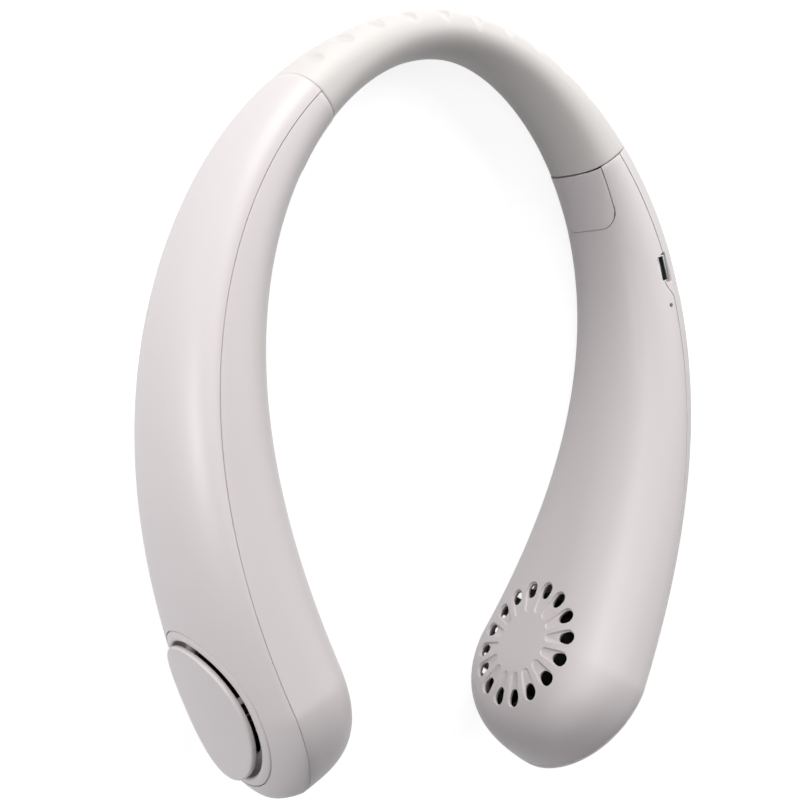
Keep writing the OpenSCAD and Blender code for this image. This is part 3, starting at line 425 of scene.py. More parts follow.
slim = REST_Z - half_height(0)
reach = (CROWN_OUT - MID_Y) * MM
head_y = at(HEAD_RUN, 0, 0).y
slope = slim * MM / (reach - head_y)
bm = bmesh.new()
bmesh.ops.create_grid(bm, x_segments=1, y_segments=1, size=FLOOR_HALF)
bmesh.ops.rotate(bm, verts=bm.verts, matrix=Matrix.Rotation(math.atan(slope), 3, "X"))
bmesh.ops.translate(bm, verts=bm.verts, vec=(0, head_y, -FLOOR_DROP))
floor_mesh = bpy.data.meshes.new("floor")
bm.to_mesh(floor_mesh)
bm.free()
floor = bpy.data.objects.new("floor", floor_mesh)
bpy.context.collection.objects.link(floor)
print("floor rises", round(math.degrees(math.atan(slope)), 2), "degrees towards the band")

# %% [markdown]
# ## White paper
# In a product picture the fan lies on a sweep of white paper. To the camera the floor is white,
# and whiter with its distance, so that it meets the white dome without a line. To the fan it is
# a plain grey card: the white is a glow that only rays of the picture see, so it lights nothing.

# %% The paper's material
NEAR_GLOW, FAR_GLOW = 0.82, 1.0
NEAR_M, FAR_M = 0.35, 1.4  # metres from the middle


def seen_rays(tree):
    """A socket that is 1 for rays of the picture: to the camera, off gloss or through glass."""
    ray = add(tree, "ShaderNodeLightPath").outputs
    direct = add(tree, "ShaderNodeMath", {0: ray["Is Camera Ray"], 1: ray["Is Transmission Ray"]},
                 operation="MAXIMUM")
    gloss = add(tree, "ShaderNodeMath", {0: direct.outputs[0], 1: ray["Is Glossy Ray"]},
                operation="MAXIMUM")
    return gloss.outputs[0]


paper, tree, output, place = new_material("paper_floor")
matt = add(tree, "ShaderNodeBsdfDiffuse", Color=srgb("B8B8BC"))
glow = add(tree, "ShaderNodeEmission", Color=(1, 1, 1, 1))
away = add(tree, "ShaderNodeVectorMath", {0: place}, operation="LENGTH")
fade = spread(tree, away.outputs["Value"], NEAR_GLOW, FAR_GLOW, NEAR_M, FAR_M)
seen = add(tree, "ShaderNodeMath", {0: seen_rays(tree), 1: fade}, operation="MULTIPLY")
tree.links.new(seen.outputs[0], glow.inputs["Strength"])
both = add(tree, "ShaderNodeAddShader", {0: matt.outputs[0], 1: glow.outputs[0]})
tree.links.new(both.outputs[0], output.inputs["Surface"])
floor_mesh.materials.append(paper)
print("the floor has", paper.name)

# %% [markdown]
# ## Soft studio light
# In the photograph the faces that look towards the band's side are bright and the inside of the
# band is dim. Two wide lamps beyond the band give that, one on each side. A low one lights the
# left arm's outer side and can't reach past it, and two weak ones, at the left and in front, lift
# the arms and the heads. Light adds up, so each lamp was rendered alone and the strengths were
# chosen from those pictures. They are wide, so no shadow edge is hard, and a dim dome fills the
# rest. Like the floor, the dome is white to the picture alone.

# %% World and lamps
AMBIENT = (0.034, 0.036, 0.048, 1)
LAMPS = (  # name, place, width, watts
    ("band_left", (-220, 640, 360), 420, 3.9),
    ("low_left", (-650, -60, 90), 160, 1.35),
    ("band_right", (460, 400, 540), 420, 3.0),
    ("side_left", (-420, 60, 520), 420, 0.9),
    ("front", (-150, -330, 200), 200, 0.09),
)

world = bpy.data.worlds.new("white_dome")
world.use_nodes = True
tree = world.node_tree
tree.nodes.clear()
tone = mix(tree, seen_rays(tree), AMBIENT, (1, 1, 1, 1))
sky = add(tree, "ShaderNodeBackground", {"Color": tone}, Strength=1)
dome = add(tree, "ShaderNodeOutputWorld")
tree.links.new(sky.outputs[0], dome.inputs["Surface"])
bpy.context.scene.world = world
bpy.context.scene.view_settings.view_transform = "Standard"


def lamp(name, place, size, watts):
    """A square area lamp at place, in millimetres, that looks at the middle of the fan."""
    light = bpy.data.lights.new(name, "AREA")
    light.size = size * MM
    light.energy = watts
    lit = bpy.data.objects.new(name, light)
    spot = Vector(place) * MM
    aim = Vector((0, 0, REST_Z)) * MM - spot
    facing = aim.to_track_quat("-Z", "Y").to_matrix().to_4x4()
    lit.matrix_world = Matrix.Translation(spot) @ facing
    bpy.context.collection.objects.link(lit)
    return lit


print("lamps:", [lamp(*row).name for row in LAMPS])

# %% [markdown]
# ## Pieces from points
# Every piece made below starts as a bmesh and becomes an object with one material. All but the
# pieces of the band follow a body of the frame. Thin parts are made as an open sheet first.
# Solidify then gives the wall, and a small bevel rounds its edges, as a mould does.

# %% Objects, sheets and walls
EDGE_ANGLE = 50  # degrees; sharper edges than this are rounded


def new_piece(bm, name, material, crease=None):
    """An object with smooth faces, and edges left sharp where they bend by more than crease."""
    mesh = bpy.data.meshes.new(name)
    bm.to_mesh(mesh)
    bm.free()
    for polygon in mesh.polygons:
        polygon.use_smooth = True
    if crease:
        mesh.set_sharp_from_angle(angle=math.radians(crease))
    piece = bpy.data.objects.new(name, mesh)
    bpy.context.collection.objects.link(piece)
    mesh.materials.append(material)
    return piece


def face_out(bm, probe):
    """Turns an open sheet so that its faces look away from the point probe."""
    bm.normal_update()
    total = sum((f.calc_center_median() - probe).dot(f.normal) * f.calc_area() for f in bm.faces)
    if total < 0:
        bmesh.ops.reverse_faces(bm, faces=bm.faces)


def thicken(piece, wall, radius, segments):
    """Gives an open sheet a wall on its inner side and rounded edges."""
    thick = piece.modifiers.new("wall", "SOLIDIFY")
    thick.thickness = wall * MM
    thick.offset = -1
    edge = piece.modifiers.new("edge", "BEVEL")
    edge.width = radius * MM
    edge.segments = segments
    edge.limit_method = "ANGLE"
    edge.angle_limit = math.radians(EDGE_ANGLE)


def bent_grid(place, along, around):
    """A grid whose points go where place(u, v) says, for u and v from 0 to 1."""
    bm = bmesh.new()
    bmesh.ops.create_grid(bm, x_segments=along, y_segments=around, size=1)
    for v in bm.verts:
        v.co = place((v.co.x + 1) / 2, (v.co.y + 1) / 2)
    bmesh.ops.remove_doubles(bm, verts=bm.verts, dist=MERGE)
    bmesh.ops.recalc_face_normals(bm, faces=bm.faces)
    return bm


print("points closer than", round(MERGE / MM, 4), "mm are merged")

# %% [markdown]
# ## The seam's step
# Beside the charging port the real seam leaves its line: the outer shell has a small tongue that
# reaches over to the port, and then the seam eases back. Both skins get this step from one
# function, so that they still meet. It fades out a few millimetres away from the seam.

# %% The seam beside the port
PORT_RUN, PORT_IN = 91.8, 1.05
TONGUE = 2.1
STEP_START, STEP_BACK, STEP_END = PORT_RUN - 1, PORT_RUN + 4.2, PORT_RUN + 8.8
STEP_FADE = 6


def seam_shift(s, z):
    """How far the seam steps inwards beside the charging port, on the upper side only."""
    if z < 0 or not STEP_START < s < STEP_END:
        return 0.0
    return TONGUE * (1 - ease(max(0, s - STEP_BACK) / (STEP_END - STEP_BACK)))


def skin_point(s, w, outer, side):
    n, z = section(s, w, outer)
    n += HALF_GAP if outer else -HALF_GAP
    shift = seam_shift(s, z) if side > 0 else 0
    if shift and abs(n) < STEP_FADE:
        n -= shift * (1 - abs(n) / STEP_FADE)
        z = section_z(s, n)
    return at(side * s, n, z)


print("the seam steps", TONGUE, "mm inwards at the port")

# %% [markdown]
# ## The bare shells
# Each arm is two ABS shells that snap together. A shell is half a tube with a round end.
# Sculpting one smooth enough is slow, so a flat grid is made with one operator and each of its
# points is moved to the skin: one way along the grid is the run, the other is the turn round the
# section. The points crowd towards the tip, where the skin closes quickly.

# %% Bend four grids onto the skins
STRAIGHT = 0.72  # the part of a grid that is not crowded
SHELL_ALONG, SHELL_AROUND = 150, 72
SHELL_RIM = 0.22
MID_ARM_RUN = 150


def run_of(u):
    """Runs of an arm's grid: even to the head, then crowded towards the tip."""
    if u < STRAIGHT:
        return JUNCTION_RUN + (HEAD_RUN - JUNCTION_RUN) * u / STRAIGHT
    return HEAD_RUN + TIP_LEN * math.sin(math.pi / 2 * (u - STRAIGHT) / (1 - STRAIGHT))


def arm_shell(side_name, outer):
    side = SIDES[side_name]

    def place(u, v):
        return skin_point(run_of(u), math.pi / 2 * (2 * v - 1), outer, side)
    bm = bent_grid(place, SHELL_ALONG, SHELL_AROUND)
    face_out(bm, at(side * MID_ARM_RUN, 0, 0))
    name = side_name + ("_outer_shell" if outer else "_inner_shell")
    piece = new_piece(bm, name + "_smooth", housing)
    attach(piece, side_name + "_arm")
    thicken(piece, WALL, SHELL_RIM, 2)
    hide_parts(name)
    return piece


shells = {(side, outer): arm_shell(side, outer) for side in SIDES for outer in (True, False)}
print("shells:", [piece.name for piece in shells.values()])

# %% [markdown]
# ## Cutters that follow the skin
# Holes and recesses are cut with Boolean modifiers. A straight prism would leave hard edges, so
# each cutter is a stack of outlines, one per depth: wider above the skin, which leaves a rounded
# lip, and narrower at the bottom. The stack is bridged, capped, and bent onto the skin, so that
# a recess keeps its depth all over a curved face.

# %% Outlines
def two_circles(x0, r0, x1, r1, arc=7, straight=4):
    """The outline round two circles on the x axis: points, with the outward direction at each."""
    top = math.pi / 2 + math.asin((r1 - r0) / (x1 - x0))
    points = []
    for x, r, a, b, next_x, next_r, y in ((x1, r1, -top, top, x0, r0, 1),
                                          (x0, r0, top, 2 * math.pi - top, x1, r1, -1)):
        for i in range(arc + 1):
            t = a + (b - a) * i / arc
            points.append((x + r * math.cos(t), r * math.sin(t), math.cos(t), math.sin(t)))
        last = points[-1]
        goal = next_x + next_r * math.cos(top), y * next_r * math.sin(top)
        for i in range(1, straight):
            t = i / straight
            points.append((last[0] + (goal[0] - last[0]) * t, last[1] + (goal[1] - last[1]) * t,
                           math.cos(top), y * math.sin(top)))
    return points


def rounded_box(half_x, half_y, corner, arc=6):
    """The same for a box with rounded corners."""
    points = []
    for k, (x, y) in enumerate(((1, 1), (-1, 1), (-1, -1), (1, -1))):
        for i in range(arc + 1):
            t = math.pi / 2 * (k + i / arc)
            points.append((x * (half_x - corner) + corner * math.cos(t),
                           y * (half_y - corner) + corner * math.sin(t),
                           math.cos(t), math.sin(t)))
    return points


def circle(radius, count):
    turns = (2 * math.pi * i / count for i in range(count))
    return [(radius * math.cos(t), radius * math.sin(t), math.cos(t), math.sin(t)) for t in turns]


print("an outline round two circles has", len(two_circles(0, 1, 4, 2)), "points")

# %% [markdown]
# ## Stacks and cuts
# A cutter's levels are pairs: a depth below the skin, and how much wider the outline is there.
# Most openings start with the same levels, since one mould maker rounds all lips alike.

# %% Stack outlines and cut with them
LIP = [(-0.8, 0.75), (0.0, 0.2), (0.15, 0.08), (0.35, 0.0)]
THROUGH = [(3.2, 0)]  # deeper than the wall
CUT_CREASE = 35  # degrees


def add_stack(bm, points, levels, place):
    """A closed cutter: one outline per level, bridged, capped and put in place.

    A depth can be a number or a function of the outline's x."""
    rings = []
    for depth, grow in levels:
        ring = bmesh.ops.create_circle(bm, segments=len(points), radius=1)["verts"]
        for v, (x, y, dx, dy) in zip(ring, points):
            across = x + grow * dx
            v.co = place(across, y + grow * dy, depth(across) if callable(depth) else depth)
        members = set(ring)
        rings.append([e for e in {e for v in ring for e in v.link_edges}
                      if e.verts[0] in members and e.verts[1] in members])
    for low, high in zip(rings, rings[1:]):
        bmesh.ops.bridge_loops(bm, edges=low + high)
    for end in (rings[0], rings[-1]):
        bmesh.ops.contextual_create(bm, geom=end)


def stack(points, levels, place):
    bm = bmesh.new()
    add_stack(bm, points, levels, place)
    return bm


def cut(piece, *cutters):
    """Applies a piece's modifiers and one Boolean for each cutter, a bmesh, in turn."""
    tools = []
    for k, bm in enumerate(cutters):
        bmesh.ops.recalc_face_normals(bm, faces=bm.faces)
        mesh = bpy.data.meshes.new(f"cutter_{k}")
        bm.to_mesh(mesh)
        bm.free()
        tool = bpy.data.objects.new(f"cutter_{k}", mesh)
        bpy.context.collection.objects.link(tool)
        away = piece.modifiers.new(f"cut_{k}", "BOOLEAN")
        away.object = tool
        away.solver = "EXACT"
        tools.append(tool)
    bpy.context.view_layer.update()
    evaluated = piece.evaluated_get(bpy.context.evaluated_depsgraph_get())
    result = bpy.data.meshes.new_from_object(evaluated)
    result.name = piece.name
    piece.modifiers.clear()
    piece.data = result
    result.set_sharp_from_angle(angle=math.radians(CUT_CREASE))
    for tool in tools:
        bpy.data.objects.remove(tool)
    return len(result.polygons)


print("lips are", LIP[-1][0], "mm deep")

# %% [markdown]
# ## Places on the head
# The grille and the intake belong to the fan's axis, which is square to the arm at the middle of
# the head. A point there is a distance along the arm, a height, and a level along the axis. The
# skin's level over such a point has no formula, because the arm curves, so it is found by a few
# corrections of the run.

# %% Levels of the skin over the head
FAN_AXIS = at(FAN_RUN, 1, 0) - at(FAN_RUN, 0, 0)
FAN_ALONG = Vector((FAN_AXIS.y, -FAN_AXIS.x, 0))
CORRECTIONS = 5
UP = Vector((0, 0, 1))


def fan_point(x, h, level, side=1):
    p = at(FAN_RUN, 0, 0) + FAN_ALONG * x + FAN_AXIS * level + Vector((0, 0, h * MM))
    return Vector((side * p.x, p.y, p.z))


def skin_level(x, h, outer):
    s = FAN_RUN + x
    level = 0
    for _ in range(CORRECTIONS):
        away = at(s, face_n(s, h, outer), 0) - at(FAN_RUN, 0, 0)
        level = away.dot(FAN_AXIS) / MM ** 2
        s = min(s + x - away.dot(FAN_ALONG) / MM ** 2, ARM_RUN - 0.01)
    return level


def side_frame(s, side):
    """Along, outwards and origin of a straight frame at run s, the first two of length 1."""
    out = (at(side * s, 1, 0) - at(side * s, 0, 0)) / MM
    return Vector((out.y, -out.x, 0)), out, at(side * s, 0, 0)


print("skin over the axis at", round(skin_level(0, 0, True), 2), "and",
      round(skin_level(0, 0, False), 2), "mm")

# %% [markdown]
# ## The grille
# On the neck side of each head, sixteen petals stand round a bare disc. Each is a shallow channel
# that starts narrow at the disc, gets wider and deeper outwards, and ends in a hole. The channels
# are cut first and the holes after them, as two cutters that each hold sixteen copies. The holes
# get wider on the inside, which keeps their edge thin, as moulders do to let more air through.

# %% Petal channels and holes
PETALS = 16
PETAL_TURN = math.radians(17.1)
# Two circles each: the distance from the axis and the radius, first of the inner one
CHANNEL_CIRCLES = (10.4, 1.1, 16.45, 2.1)
HOLE_CIRCLES = (15.1, 1.5, 16.45, 1.93)
SHALLOW, DEEPER = 0.3, 0.35  # the channel's depth at the disc, and how much it gains
DEEPER_FROM, DEEPER_OVER = 9, 8


def channel_floor(x):
    return SHALLOW + DEEPER * min(max((x - DEEPER_FROM) / DEEPER_OVER, 0), 1)


CHANNEL = LIP[:3] + [(lambda x: channel_floor(x) - 0.1, 0.02), (channel_floor, -0.1)]
HOLE = [(0.1, 0.0), (lambda x: channel_floor(x) + 0.15, -0.04),
        (lambda x: channel_floor(x) + 0.4, 0.02), (2.0, 0.65), (3.4, 0.65)]


def petal_cutter(circles, levels, side):
    points = two_circles(*circles)
    bm = bmesh.new()
    for i in range(PETALS):
        a = 2 * math.pi * i / PETALS + PETAL_TURN

        def place(x, y, depth):
            along, up = x * math.cos(a) - y * math.sin(a), x * math.sin(a) + y * math.cos(a)
            return fan_point(along, up, skin_level(along, up, False) + depth, side)
        add_stack(bm, points, levels, place)
    return bm


print("grille:", PETALS, "petals, channels", SHALLOW + DEEPER, "mm deep at most")

# %% [markdown]
# ## Air outlets and the strap's pocket
# The outlets are eleven slots across the lower side of each arm, where the impeller blows. The
# pocket takes the strap cover. It is cut longer than the cover and runs out over the junction,
# so that only its two corners on the arm are round.

# %% Cutters for outlets and pocket
OUTLETS, OUTLET_PITCH, OUTLET_START = 11, 4.4, FAN_RUN + 9
OUTLET_CIRCLES = (4.5, 0.98, 11.0, 1.0)
COVER_LEN, COVER_HALF_H, COVER_CORNER = 18.6, 11.0, 5
COVER_GAP, POCKET_GAP = 0.2, 0.08
COVER_RUN = JUNCTION_RUN + COVER_GAP + COVER_LEN / 2
POCKET_OVER = 4
POCKET = [(-1.5, 0.06), (0.06, 0.06), (0.15, 0.0), (3.4, 0.0)]


def outlet_cutter(side):
    points = two_circles(*OUTLET_CIRCLES)
    bm = bmesh.new()
    for i in range(OUTLETS):
        s = OUTLET_START - i * OUTLET_PITCH

        def place(x, y, depth):
            return at(side * (s + y), -x, -section_z(s + y, -x) + depth)
        add_stack(bm, points, LIP + THROUGH, place)
    return bm


def pocket_cutter(side):
    def place(x, y, depth):
        s = COVER_RUN + (x - POCKET_OVER)
        return at(side * s, face_n(s, y, False) + depth, y)
    box = rounded_box(COVER_LEN / 2 + POCKET_OVER + POCKET_GAP, COVER_HALF_H + POCKET_GAP,
                      COVER_CORNER + POCKET_GAP)
    return stack(box, POCKET, place)


print("outlets:", OUTLETS, "slots over", round(OUTLET_PITCH * (OUTLETS - 1), 1), "mm of each arm")

# %% [markdown]
# ## Port and pinhole
# The charging port opens on the upper edge of the right arm, across the seam, and the status
# light shines through a pinhole beside it. A micro-USB opening is narrower on one long side, so
# the outline is drawn in a little on the neck side.

# %% Cutters for port and light
PORT_BOX, PORT_TAPER = (4.35, 1.6, 0.55), 0.2
LIGHT_RUN, LIGHT_IN = 102.6, 1.85
LIGHT_BOX = (0.45, 0.45, 0.449)


def top_cutter(run, inwards, points, levels):
    """A cutter into the upper edge of the right arm."""
    def place(x, y, depth):
        n = y - inwards
        return at(run + x, n, section_z(run + x, n) - depth)
    return stack(points, levels, place)


def port_cutter():
    points = [(x * (1 - PORT_TAPER * (y < 0)), y, dx, dy)
              for x, y, dx, dy in rounded_box(*PORT_BOX)]
    return top_cutter(PORT_RUN, PORT_IN, points, LIP + THROUGH)


def light_cutter():
    levels = LIP[:2] + [(0.2, 0.0)] + THROUGH
    return top_cutter(LIGHT_RUN, LIGHT_IN, rounded_box(*LIGHT_BOX), levels)


print("port at run", PORT_RUN, "mm, light at run", LIGHT_RUN, "mm")

# %% [markdown]
# ## Cutting the shells
# The intake dish and the power button sit in plain round holes of the outer shells, so their
# cutters are straight cylinders. All cutters of a shell are then applied in turn. The port is
# cut from both shells, since the seam runs through it.

# %% Cut the shells
DISH_GAP = 0.15
BUTTON_HOLE_R = 4.2
INTAKE_SPAN = [(-1, 0), (12, 0)]
BUTTON_SPAN = [(3, 0), (12, 0)]


def round_cutter(s, side, radius, span, segments=72):
    """A cylinder square to the arm at run s; its levels are heights over the seam line."""
    along, out, centre = side_frame(s, side)
    return stack(circle(radius, segments), span,
                 lambda x, y, h: centre + (along * x + UP * y + out * h) * MM)


for side_name, side in SIDES.items():
    inner_tools = [petal_cutter(CHANNEL_CIRCLES, CHANNEL, side),
                   petal_cutter(HOLE_CIRCLES, HOLE, side), outlet_cutter(side), pocket_cutter(side)]
    outer_tools = [round_cutter(FAN_RUN, side, DISH_R + DISH_GAP, INTAKE_SPAN, 128)]
    if side > 0:
        inner_tools += [port_cutter(), light_cutter()]
        outer_tools += [port_cutter(), round_cutter(PORT_RUN, 1, BUTTON_HOLE_R, BUTTON_SPAN)]
    faces = cut(shells[side_name, False], *inner_tools), cut(shells[side_name, True], *outer_tools)
    print(side_name, "inner and outer shell:", faces, "faces")

# %% [markdown]
# ## Swept forms
# The band, what runs inside it and the dishes all have a section that changes on its way. Each
# starts as one circle of edges. The circle is extruded from station to station, and every new
# point goes where a formula puts it. A curve with a bevel couldn't change its section like this.

# %% Sweep a ring of points
def sweep(bm, stations, points, place, capped=True):
    """Adds rings of points to bm, one per station, each extruded from the one before."""
    ring = bmesh.ops.create_circle(bm, segments=points, radius=1)["verts"]
    loop = list({e for v in ring for e in v.link_edges})
    turns = {v: 2 * math.pi * k / points for k, v in enumerate(ring)}
    if capped:
        bmesh.ops.contextual_create(bm, geom=loop)
    for k, station in enumerate(stations):
        if k:
            grown = bmesh.ops.extrude_edge_only(bm, edges=loop)["geom"]
            loop = [e for e in grown if isinstance(e, bmesh.types.BMEdge)]
            new = [v for v in grown if isinstance(v, bmesh.types.BMVert)]
            turns = {v: next(turns[e.other_vert(v)] for e in v.link_edges
                             if e.other_vert(v) in turns) for v in new}
        for v, t in turns.items():
            v.co = place(station, t)
    if capped:
        bmesh.ops.contextual_create(bm, geom=loop)
        bmesh.ops.recalc_face_normals(bm, faces=bm.faces)


def even_runs(end, half_count):
    """Runs from -end to end in even steps."""
    return [end * (i / half_count - 1) for i in range(2 * half_count + 1)]


print("a sweep's runs, for instance:", even_runs(10, 2))

# %% [markdown]
# ## The band
# The band is one soft piece that crosses the only place where the fan bends. Its two rows of oval
# dimples are pressed in by moving points inwards near each centre.

# %% Rings along the band
BAND_END = JUNCTION_RUN - 0.2
BAND_CREASE = 50  # degrees
DIMPLES, DIMPLE_PITCH, DIMPLE_DEEP = 11, 9.9, 1.0
DIMPLE_Z, DIMPLE_HALF_Z, DIMPLE_HALF_S = 6.7, 3.5, 2.0
BAND_RINGS, BAND_POINTS = 300, 120
BAND_RIM = ((0, 0.35), (0.06, 0.12), (0.3, 0.0))  # distance from the end, and how far inset


def dimple(s, z):
    """How deep the outer face is pressed in at run s and height z."""
    nearest = round(s / DIMPLE_PITCH) * DIMPLE_PITCH
    if abs(nearest) > DIMPLE_PITCH * (DIMPLES - 1) / 2:
        return 0
    r = math.hypot((s - nearest) / DIMPLE_HALF_S, (abs(z) - DIMPLE_Z) / DIMPLE_HALF_Z)
    return DIMPLE_DEEP * (1 - r ** 4) ** 2 if r < 1 else 0


def band_point(station, w):
    s, inset = station
    outer = math.cos(w) >= 0
    n, z = section(s, w, outer)
    shrink = 1 - inset / half_height(s)
    n, z = n * shrink, z * shrink
    if outer and not inset:
        n -= dimple(s, z)
    return at(s, n, z)


def bending_piece(bm, name, material, node):
    """A piece on the band, baked in place, which hides the imported solid it stands for."""
    piece = new_piece(bm, name, material, BAND_CREASE)
    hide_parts(node)
    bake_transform(piece)
    print(name, len(piece.data.polygons), "faces")
    return piece


rim = [(away - BAND_END, inset) for away, inset in BAND_RIM]
inner = -rim[-1][0]
middle = [(-inner + 2 * inner * i / BAND_RINGS, 0.0) for i in range(1, BAND_RINGS)]
bm = bmesh.new()
sweep(bm, rim + middle + [(-s, inset) for s, inset in reversed(rim)], BAND_POINTS, band_point)
band = bending_piece(bm, "neck_band", silicone, "band")

# %% [markdown]
# ## Inside the band
# A strip of spring steel gives the band its grip, and two wires take the current from one arm to
# the other. They are out of sight, but they have to bend with the band, so they are swept along
# the same curve.

# %% The strip and the wires
STRIP_END, STRIP_HALF_T, STRIP_HALF_H = 48.0, 0.4, 3.0
FLATTEN_T, FLATTEN_H = 2, 1.2  # a circle grown by these and clipped at 1 is nearly a rectangle
WIRE_END, WIRE_R, WIRE_N, WIRE_Z = 66.3, 0.5, 1.4, 1.4


def strip_point(s, t):
    n = STRIP_HALF_T * min(1, max(-1, FLATTEN_T * math.cos(t)))
    return at(s, n, STRIP_HALF_H * min(1, max(-1, FLATTEN_H * math.sin(t))))


def wire_point(station, t):
    s, z = station
    return at(s, WIRE_N + WIRE_R * math.sin(t), z + WIRE_R * math.cos(t))


bm = bmesh.new()
sweep(bm, even_runs(STRIP_END, 40), 24, strip_point)
bending_piece(bm, "spring_strip", plated_steel, "band_strip")
bm = bmesh.new()
for z in (-WIRE_Z, WIRE_Z):
    sweep(bm, [(s, z) for s in even_runs(WIRE_END, 48)], 12, wire_point)
bending_piece(bm, "band_wire_pair", red_pvc, "band_wires")

# %% [markdown]
# ## The strap covers
# A small cover closes the place where the band is screwed to each arm. It lies in its pocket with
# a fine gap all round and follows the neck side of the arm. A flat grid gets the outline of a
# box with two round corners, is bent onto the skin, and gets its wall and soft edge as above.

# %% A plate bent onto the neck side
PLATE_FIT, PLATE_SINK, PLATE_T, PLATE_EDGE = 0.05, 0.12, 1.2, 0.12
PLATE_ALONG, PLATE_AROUND = 28, 36


def round_off(x, y, half_x, half_y, corner):
    """Moves a point of a square grid from -1 to 1 into a box with two rounded corners."""
    px, py = x * half_x, y * half_y
    if x > 0:
        over = max(0, abs(py) - half_y + corner)
        px = x * (half_x - corner + math.sqrt(max(0, corner ** 2 - over ** 2)))
    return px, py


def strap_cover(side_name):
    side = SIDES[side_name]

    def place(u, v):
        x, y = round_off(2 * u - 1, 2 * v - 1, COVER_LEN / 2 - PLATE_FIT,
                         COVER_HALF_H - PLATE_FIT, COVER_CORNER)
        s = COVER_RUN + x
        return at(side * s, face_n(s, y, False) - PLATE_SINK, y)
    bm = bent_grid(place, PLATE_ALONG, PLATE_AROUND)
    face_out(bm, at(side * COVER_RUN, 0, 0))
    piece = new_piece(bm, side_name + "_strap_plate", housing)
    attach(piece, side_name + "_arm")
    thicken(piece, PLATE_T, PLATE_EDGE, 3)
    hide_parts(side_name + "_strap_cover")
    return piece


print("strap covers:", [strap_cover(side_name).name for side_name in SIDES])

# %% [markdown]
# ## The intake dish
# On the outer side of each head a dish is set into the shell. Its lip starts flush with the curved
# skin, rolls over and drops to a flat floor round the air intake. Turning it on an axis would
# leave the lip flat, so its rings are swept inwards and moved, level by level.

# %% The dish
DISH_FLOOR, DISH_T, THROAT_R = 3.4, 1.2, 14.7
LIP_DROP = 0.9
DISH_POINTS = 128
# Radius and drop below the skin of the lip's rings
LIP_RINGS = [(21.62, 2.2), (21.62, 0.2), (21.55, 0.07), (21.35, 0.01), (20.9, 0.0), (20.3, 0.0),
             (19.9, 0.03), (19.6, 0.1), (19.35, 0.22), (19.15, 0.4), (19.02, 0.62),
             (18.95, LIP_DROP)]
# Radius of the rings below it, and their share of the way from the lip to the floor
FALL_RINGS = [(18.9, 0.35), (18.85, 0.7), (18.7, 0.88), (18.4, 0.97), (18.0, 1.0), (15.0, 1.0),
              (14.78, 1.03), (THROAT_R, 1.1), (THROAT_R, 1.6)]
DEEP_INSIDE = -1000  # a level far behind the dish


def dish_level(x, h, drop, fall):
    """Level of a ring's point: below the skin, on the way to the floor, or past its edge."""
    lip = skin_level(x, h, True) - drop
    return lip + (DISH_FLOOR - lip) * fall if fall <= 1 else DISH_FLOOR - (fall - 1) * 2 * DISH_T


def intake_dish(side_name):
    side = SIDES[side_name]

    def place(ring, t):
        r, drop, fall = ring
        x, h = r * math.cos(t), r * math.sin(t)
        return fan_point(x, h, dish_level(x, h, drop, fall), side)
    rings = [(r, drop, 0.0) for r, drop in LIP_RINGS]
    rings += [(r, LIP_DROP, fall) for r, fall in FALL_RINGS]
    bm = bmesh.new()
    sweep(bm, rings, DISH_POINTS, place, capped=False)
    face_out(bm, fan_point(0, 0, DEEP_INSIDE, side))
    piece = new_piece(bm, side_name + "_dish_lip", housing, crease=40)
    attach(piece, side_name + "_arm")
    return piece


print("a dish has", len(LIP_RINGS) + len(FALL_RINGS), "rings")

# %% [markdown]
# ## The round cover
# A round plate floats over each dish on three posts, and air enters all round through the gap.
# It is spun from its profile and then bent across the head, so that it follows the skin. The
# posts are cones with equal ends, set upright between the dish's floor and the plate.

# %% The cover plate on its posts
DISC_R, DISC_TOP, DISC_T, DISC_EDGE = 18.3, 10.1, 1.5, 0.5
COVER_BEND_R = 82
COVER_STEPS = 112
POSTS, POST_R, POST_RING, POST_SUNK = 3, 0.85, 15.9, 0.5
POST_TURN = math.radians(108)


def turned(bm, profile, place, steps):
    """Spins a profile of (radius, height) points round the outward axis of a straight frame."""
    along, out, centre = place
    verts = [bm.verts.new(centre + (along * r + out * h) * MM) for r, h in profile]
    edges = [bm.edges.new(pair) for pair in zip(verts, verts[1:])]
    bmesh.ops.spin(bm, geom=verts + edges, cent=centre, axis=out, angle=2 * math.pi, steps=steps,
                   use_merge=True)
    bmesh.ops.remove_doubles(bm, verts=bm.verts, dist=MERGE)


def cover_fall(h):
    """How far the bent cover falls away at a height h above the fan's axis."""
    return COVER_BEND_R - math.sqrt(COVER_BEND_R ** 2 - h ** 2)


def cover_profile():
    """Top from the middle outwards, round edge, and underside back to the middle."""
    flat, low, under = DISC_R - DISC_EDGE, DISC_TOP - DISC_T, DISC_R - 0.25
    points = [(flat * k / 12, DISC_TOP) for k in range(12)]
    for k in range(9):
        t = math.pi / 2 * (1 - k / 8)
        points.append((flat + DISC_EDGE * math.cos(t),
                       DISC_TOP - DISC_EDGE + DISC_EDGE * math.sin(t)))
    points += [(DISC_R - 0.05, low + 0.2), (under, low)]
    return points + [(under * k / 8, low) for k in range(7, -1, -1)]


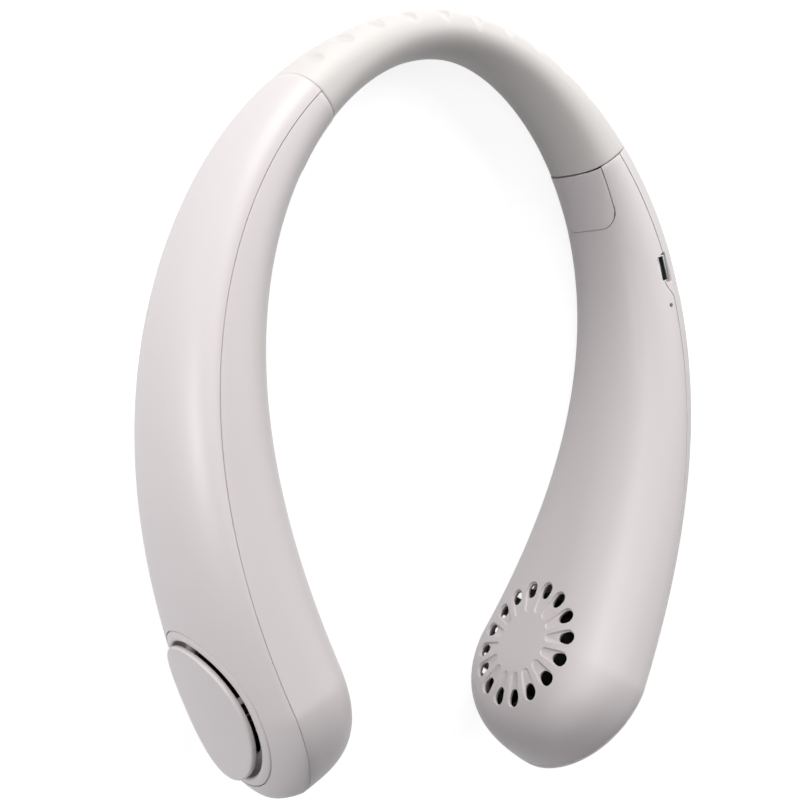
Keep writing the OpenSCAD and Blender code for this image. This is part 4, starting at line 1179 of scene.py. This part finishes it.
def intake_cover(side_name):
    side = SIDES[side_name]
    along, out, centre = side_frame(FAN_RUN, side)
    bm = bmesh.new()
    turned(bm, cover_profile(), (along, out, centre), COVER_STEPS)
    for v in bm.verts:
        v.co -= out * cover_fall((v.co.z - centre.z) / MM) * MM
    foot = DISH_FLOOR - POST_SUNK
    for k in range(POSTS):
        t = 2 * math.pi * k / POSTS + POST_TURN
        x, h = POST_RING * math.cos(t), POST_RING * math.sin(t)
        top = DISC_TOP - DISC_T - cover_fall(h) + POST_SUNK
        post = bmesh.ops.create_cone(bm, cap_ends=True, segments=24, radius1=POST_R * MM,
                                     radius2=POST_R * MM, depth=(top - foot) * MM)["verts"]
        bmesh.ops.rotate(bm, verts=post, matrix=out.to_track_quat("Z", "Y").to_matrix())
        bmesh.ops.translate(bm, verts=post, vec=fan_point(x, h, (top + foot) / 2, side))
    bmesh.ops.recalc_face_normals(bm, faces=bm.faces)
    piece = new_piece(bm, side_name + "_cover_plate", housing, crease=50)
    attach(piece, side_name + "_arm")
    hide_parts(side_name + "_intake_cover")
    return piece


for side_name in SIDES:
    print("made", intake_dish(side_name).name, "and", intake_cover(side_name).name)

# %% [markdown]
# ## The power button
# The button is a round cap with a shallow thumb hollow and a soft edge, turned like the cover. It
# rides on its own body, because it slides in when it is pressed.

# %% Turn the button
BUTTON_R, BUTTON_OUT = 4.0, 0.8
HOLLOW_DEEP, HOLLOW_RISE = 0.35, 0.3
BUTTON_STEPS = 72

top = ARM_OUT + BUTTON_OUT
profile = [(BUTTON_R * k / 8, top - HOLLOW_DEEP + HOLLOW_RISE * (k / 8) ** 2) for k in range(8)]
profile += [(3.6, top - 0.05), (3.8, top - 0.1), (3.95, top - 0.26), (BUTTON_R, top - 0.5),
            (BUTTON_R, ARM_OUT - 2.2)]
bm = bmesh.new()
turned(bm, profile, side_frame(PORT_RUN, 1), BUTTON_STEPS)
bmesh.ops.holes_fill(bm, edges=bm.edges)
bmesh.ops.recalc_face_normals(bm, faces=bm.faces)
button = new_piece(bm, "power_button_cap", housing, crease=40)
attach(button, "power_button")
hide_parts("power_button")
print("button:", len(button.data.polygons), "faces")

# %% [markdown]
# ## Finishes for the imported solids
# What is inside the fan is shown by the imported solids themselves, as their forms are right. Each
# gets the finish of the real part, chosen by the last words of its name.

# %% A finish for every solid that stays
FINISHES = {
    housing: ("intake_dish",),
    black_abs: ("impeller", "motor_base", "band_anchor", "divider", "board_chips", "port_tongue",
                "push_switch"),
    plated_steel: ("rotor_yoke", "rotor_shaft", "stator_core", "motor_screws", "anchor_screws",
                   "board_screws", "port_shell", "switch_plunger"),
    copper_wire: ("stator_coils",), bronze: ("sleeve_bearing",), ferrite: ("rotor_magnet",),
    pouch_foil: ("battery",), red_pvc: ("battery_lead",), black_pvc: ("motor_lead",),
    solder_mask: ("main_board",), acrylic: ("status_light", "light_window"),
}
for material, endings in FINISHES.items():
    for name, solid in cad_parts.items():
        if name.removeprefix("right_").removeprefix("left_") in endings:
            solid.data.materials.clear()
            solid.data.materials.append(material)
print("finishes:", {m.name: len(e) for m, e in FINISHES.items()})
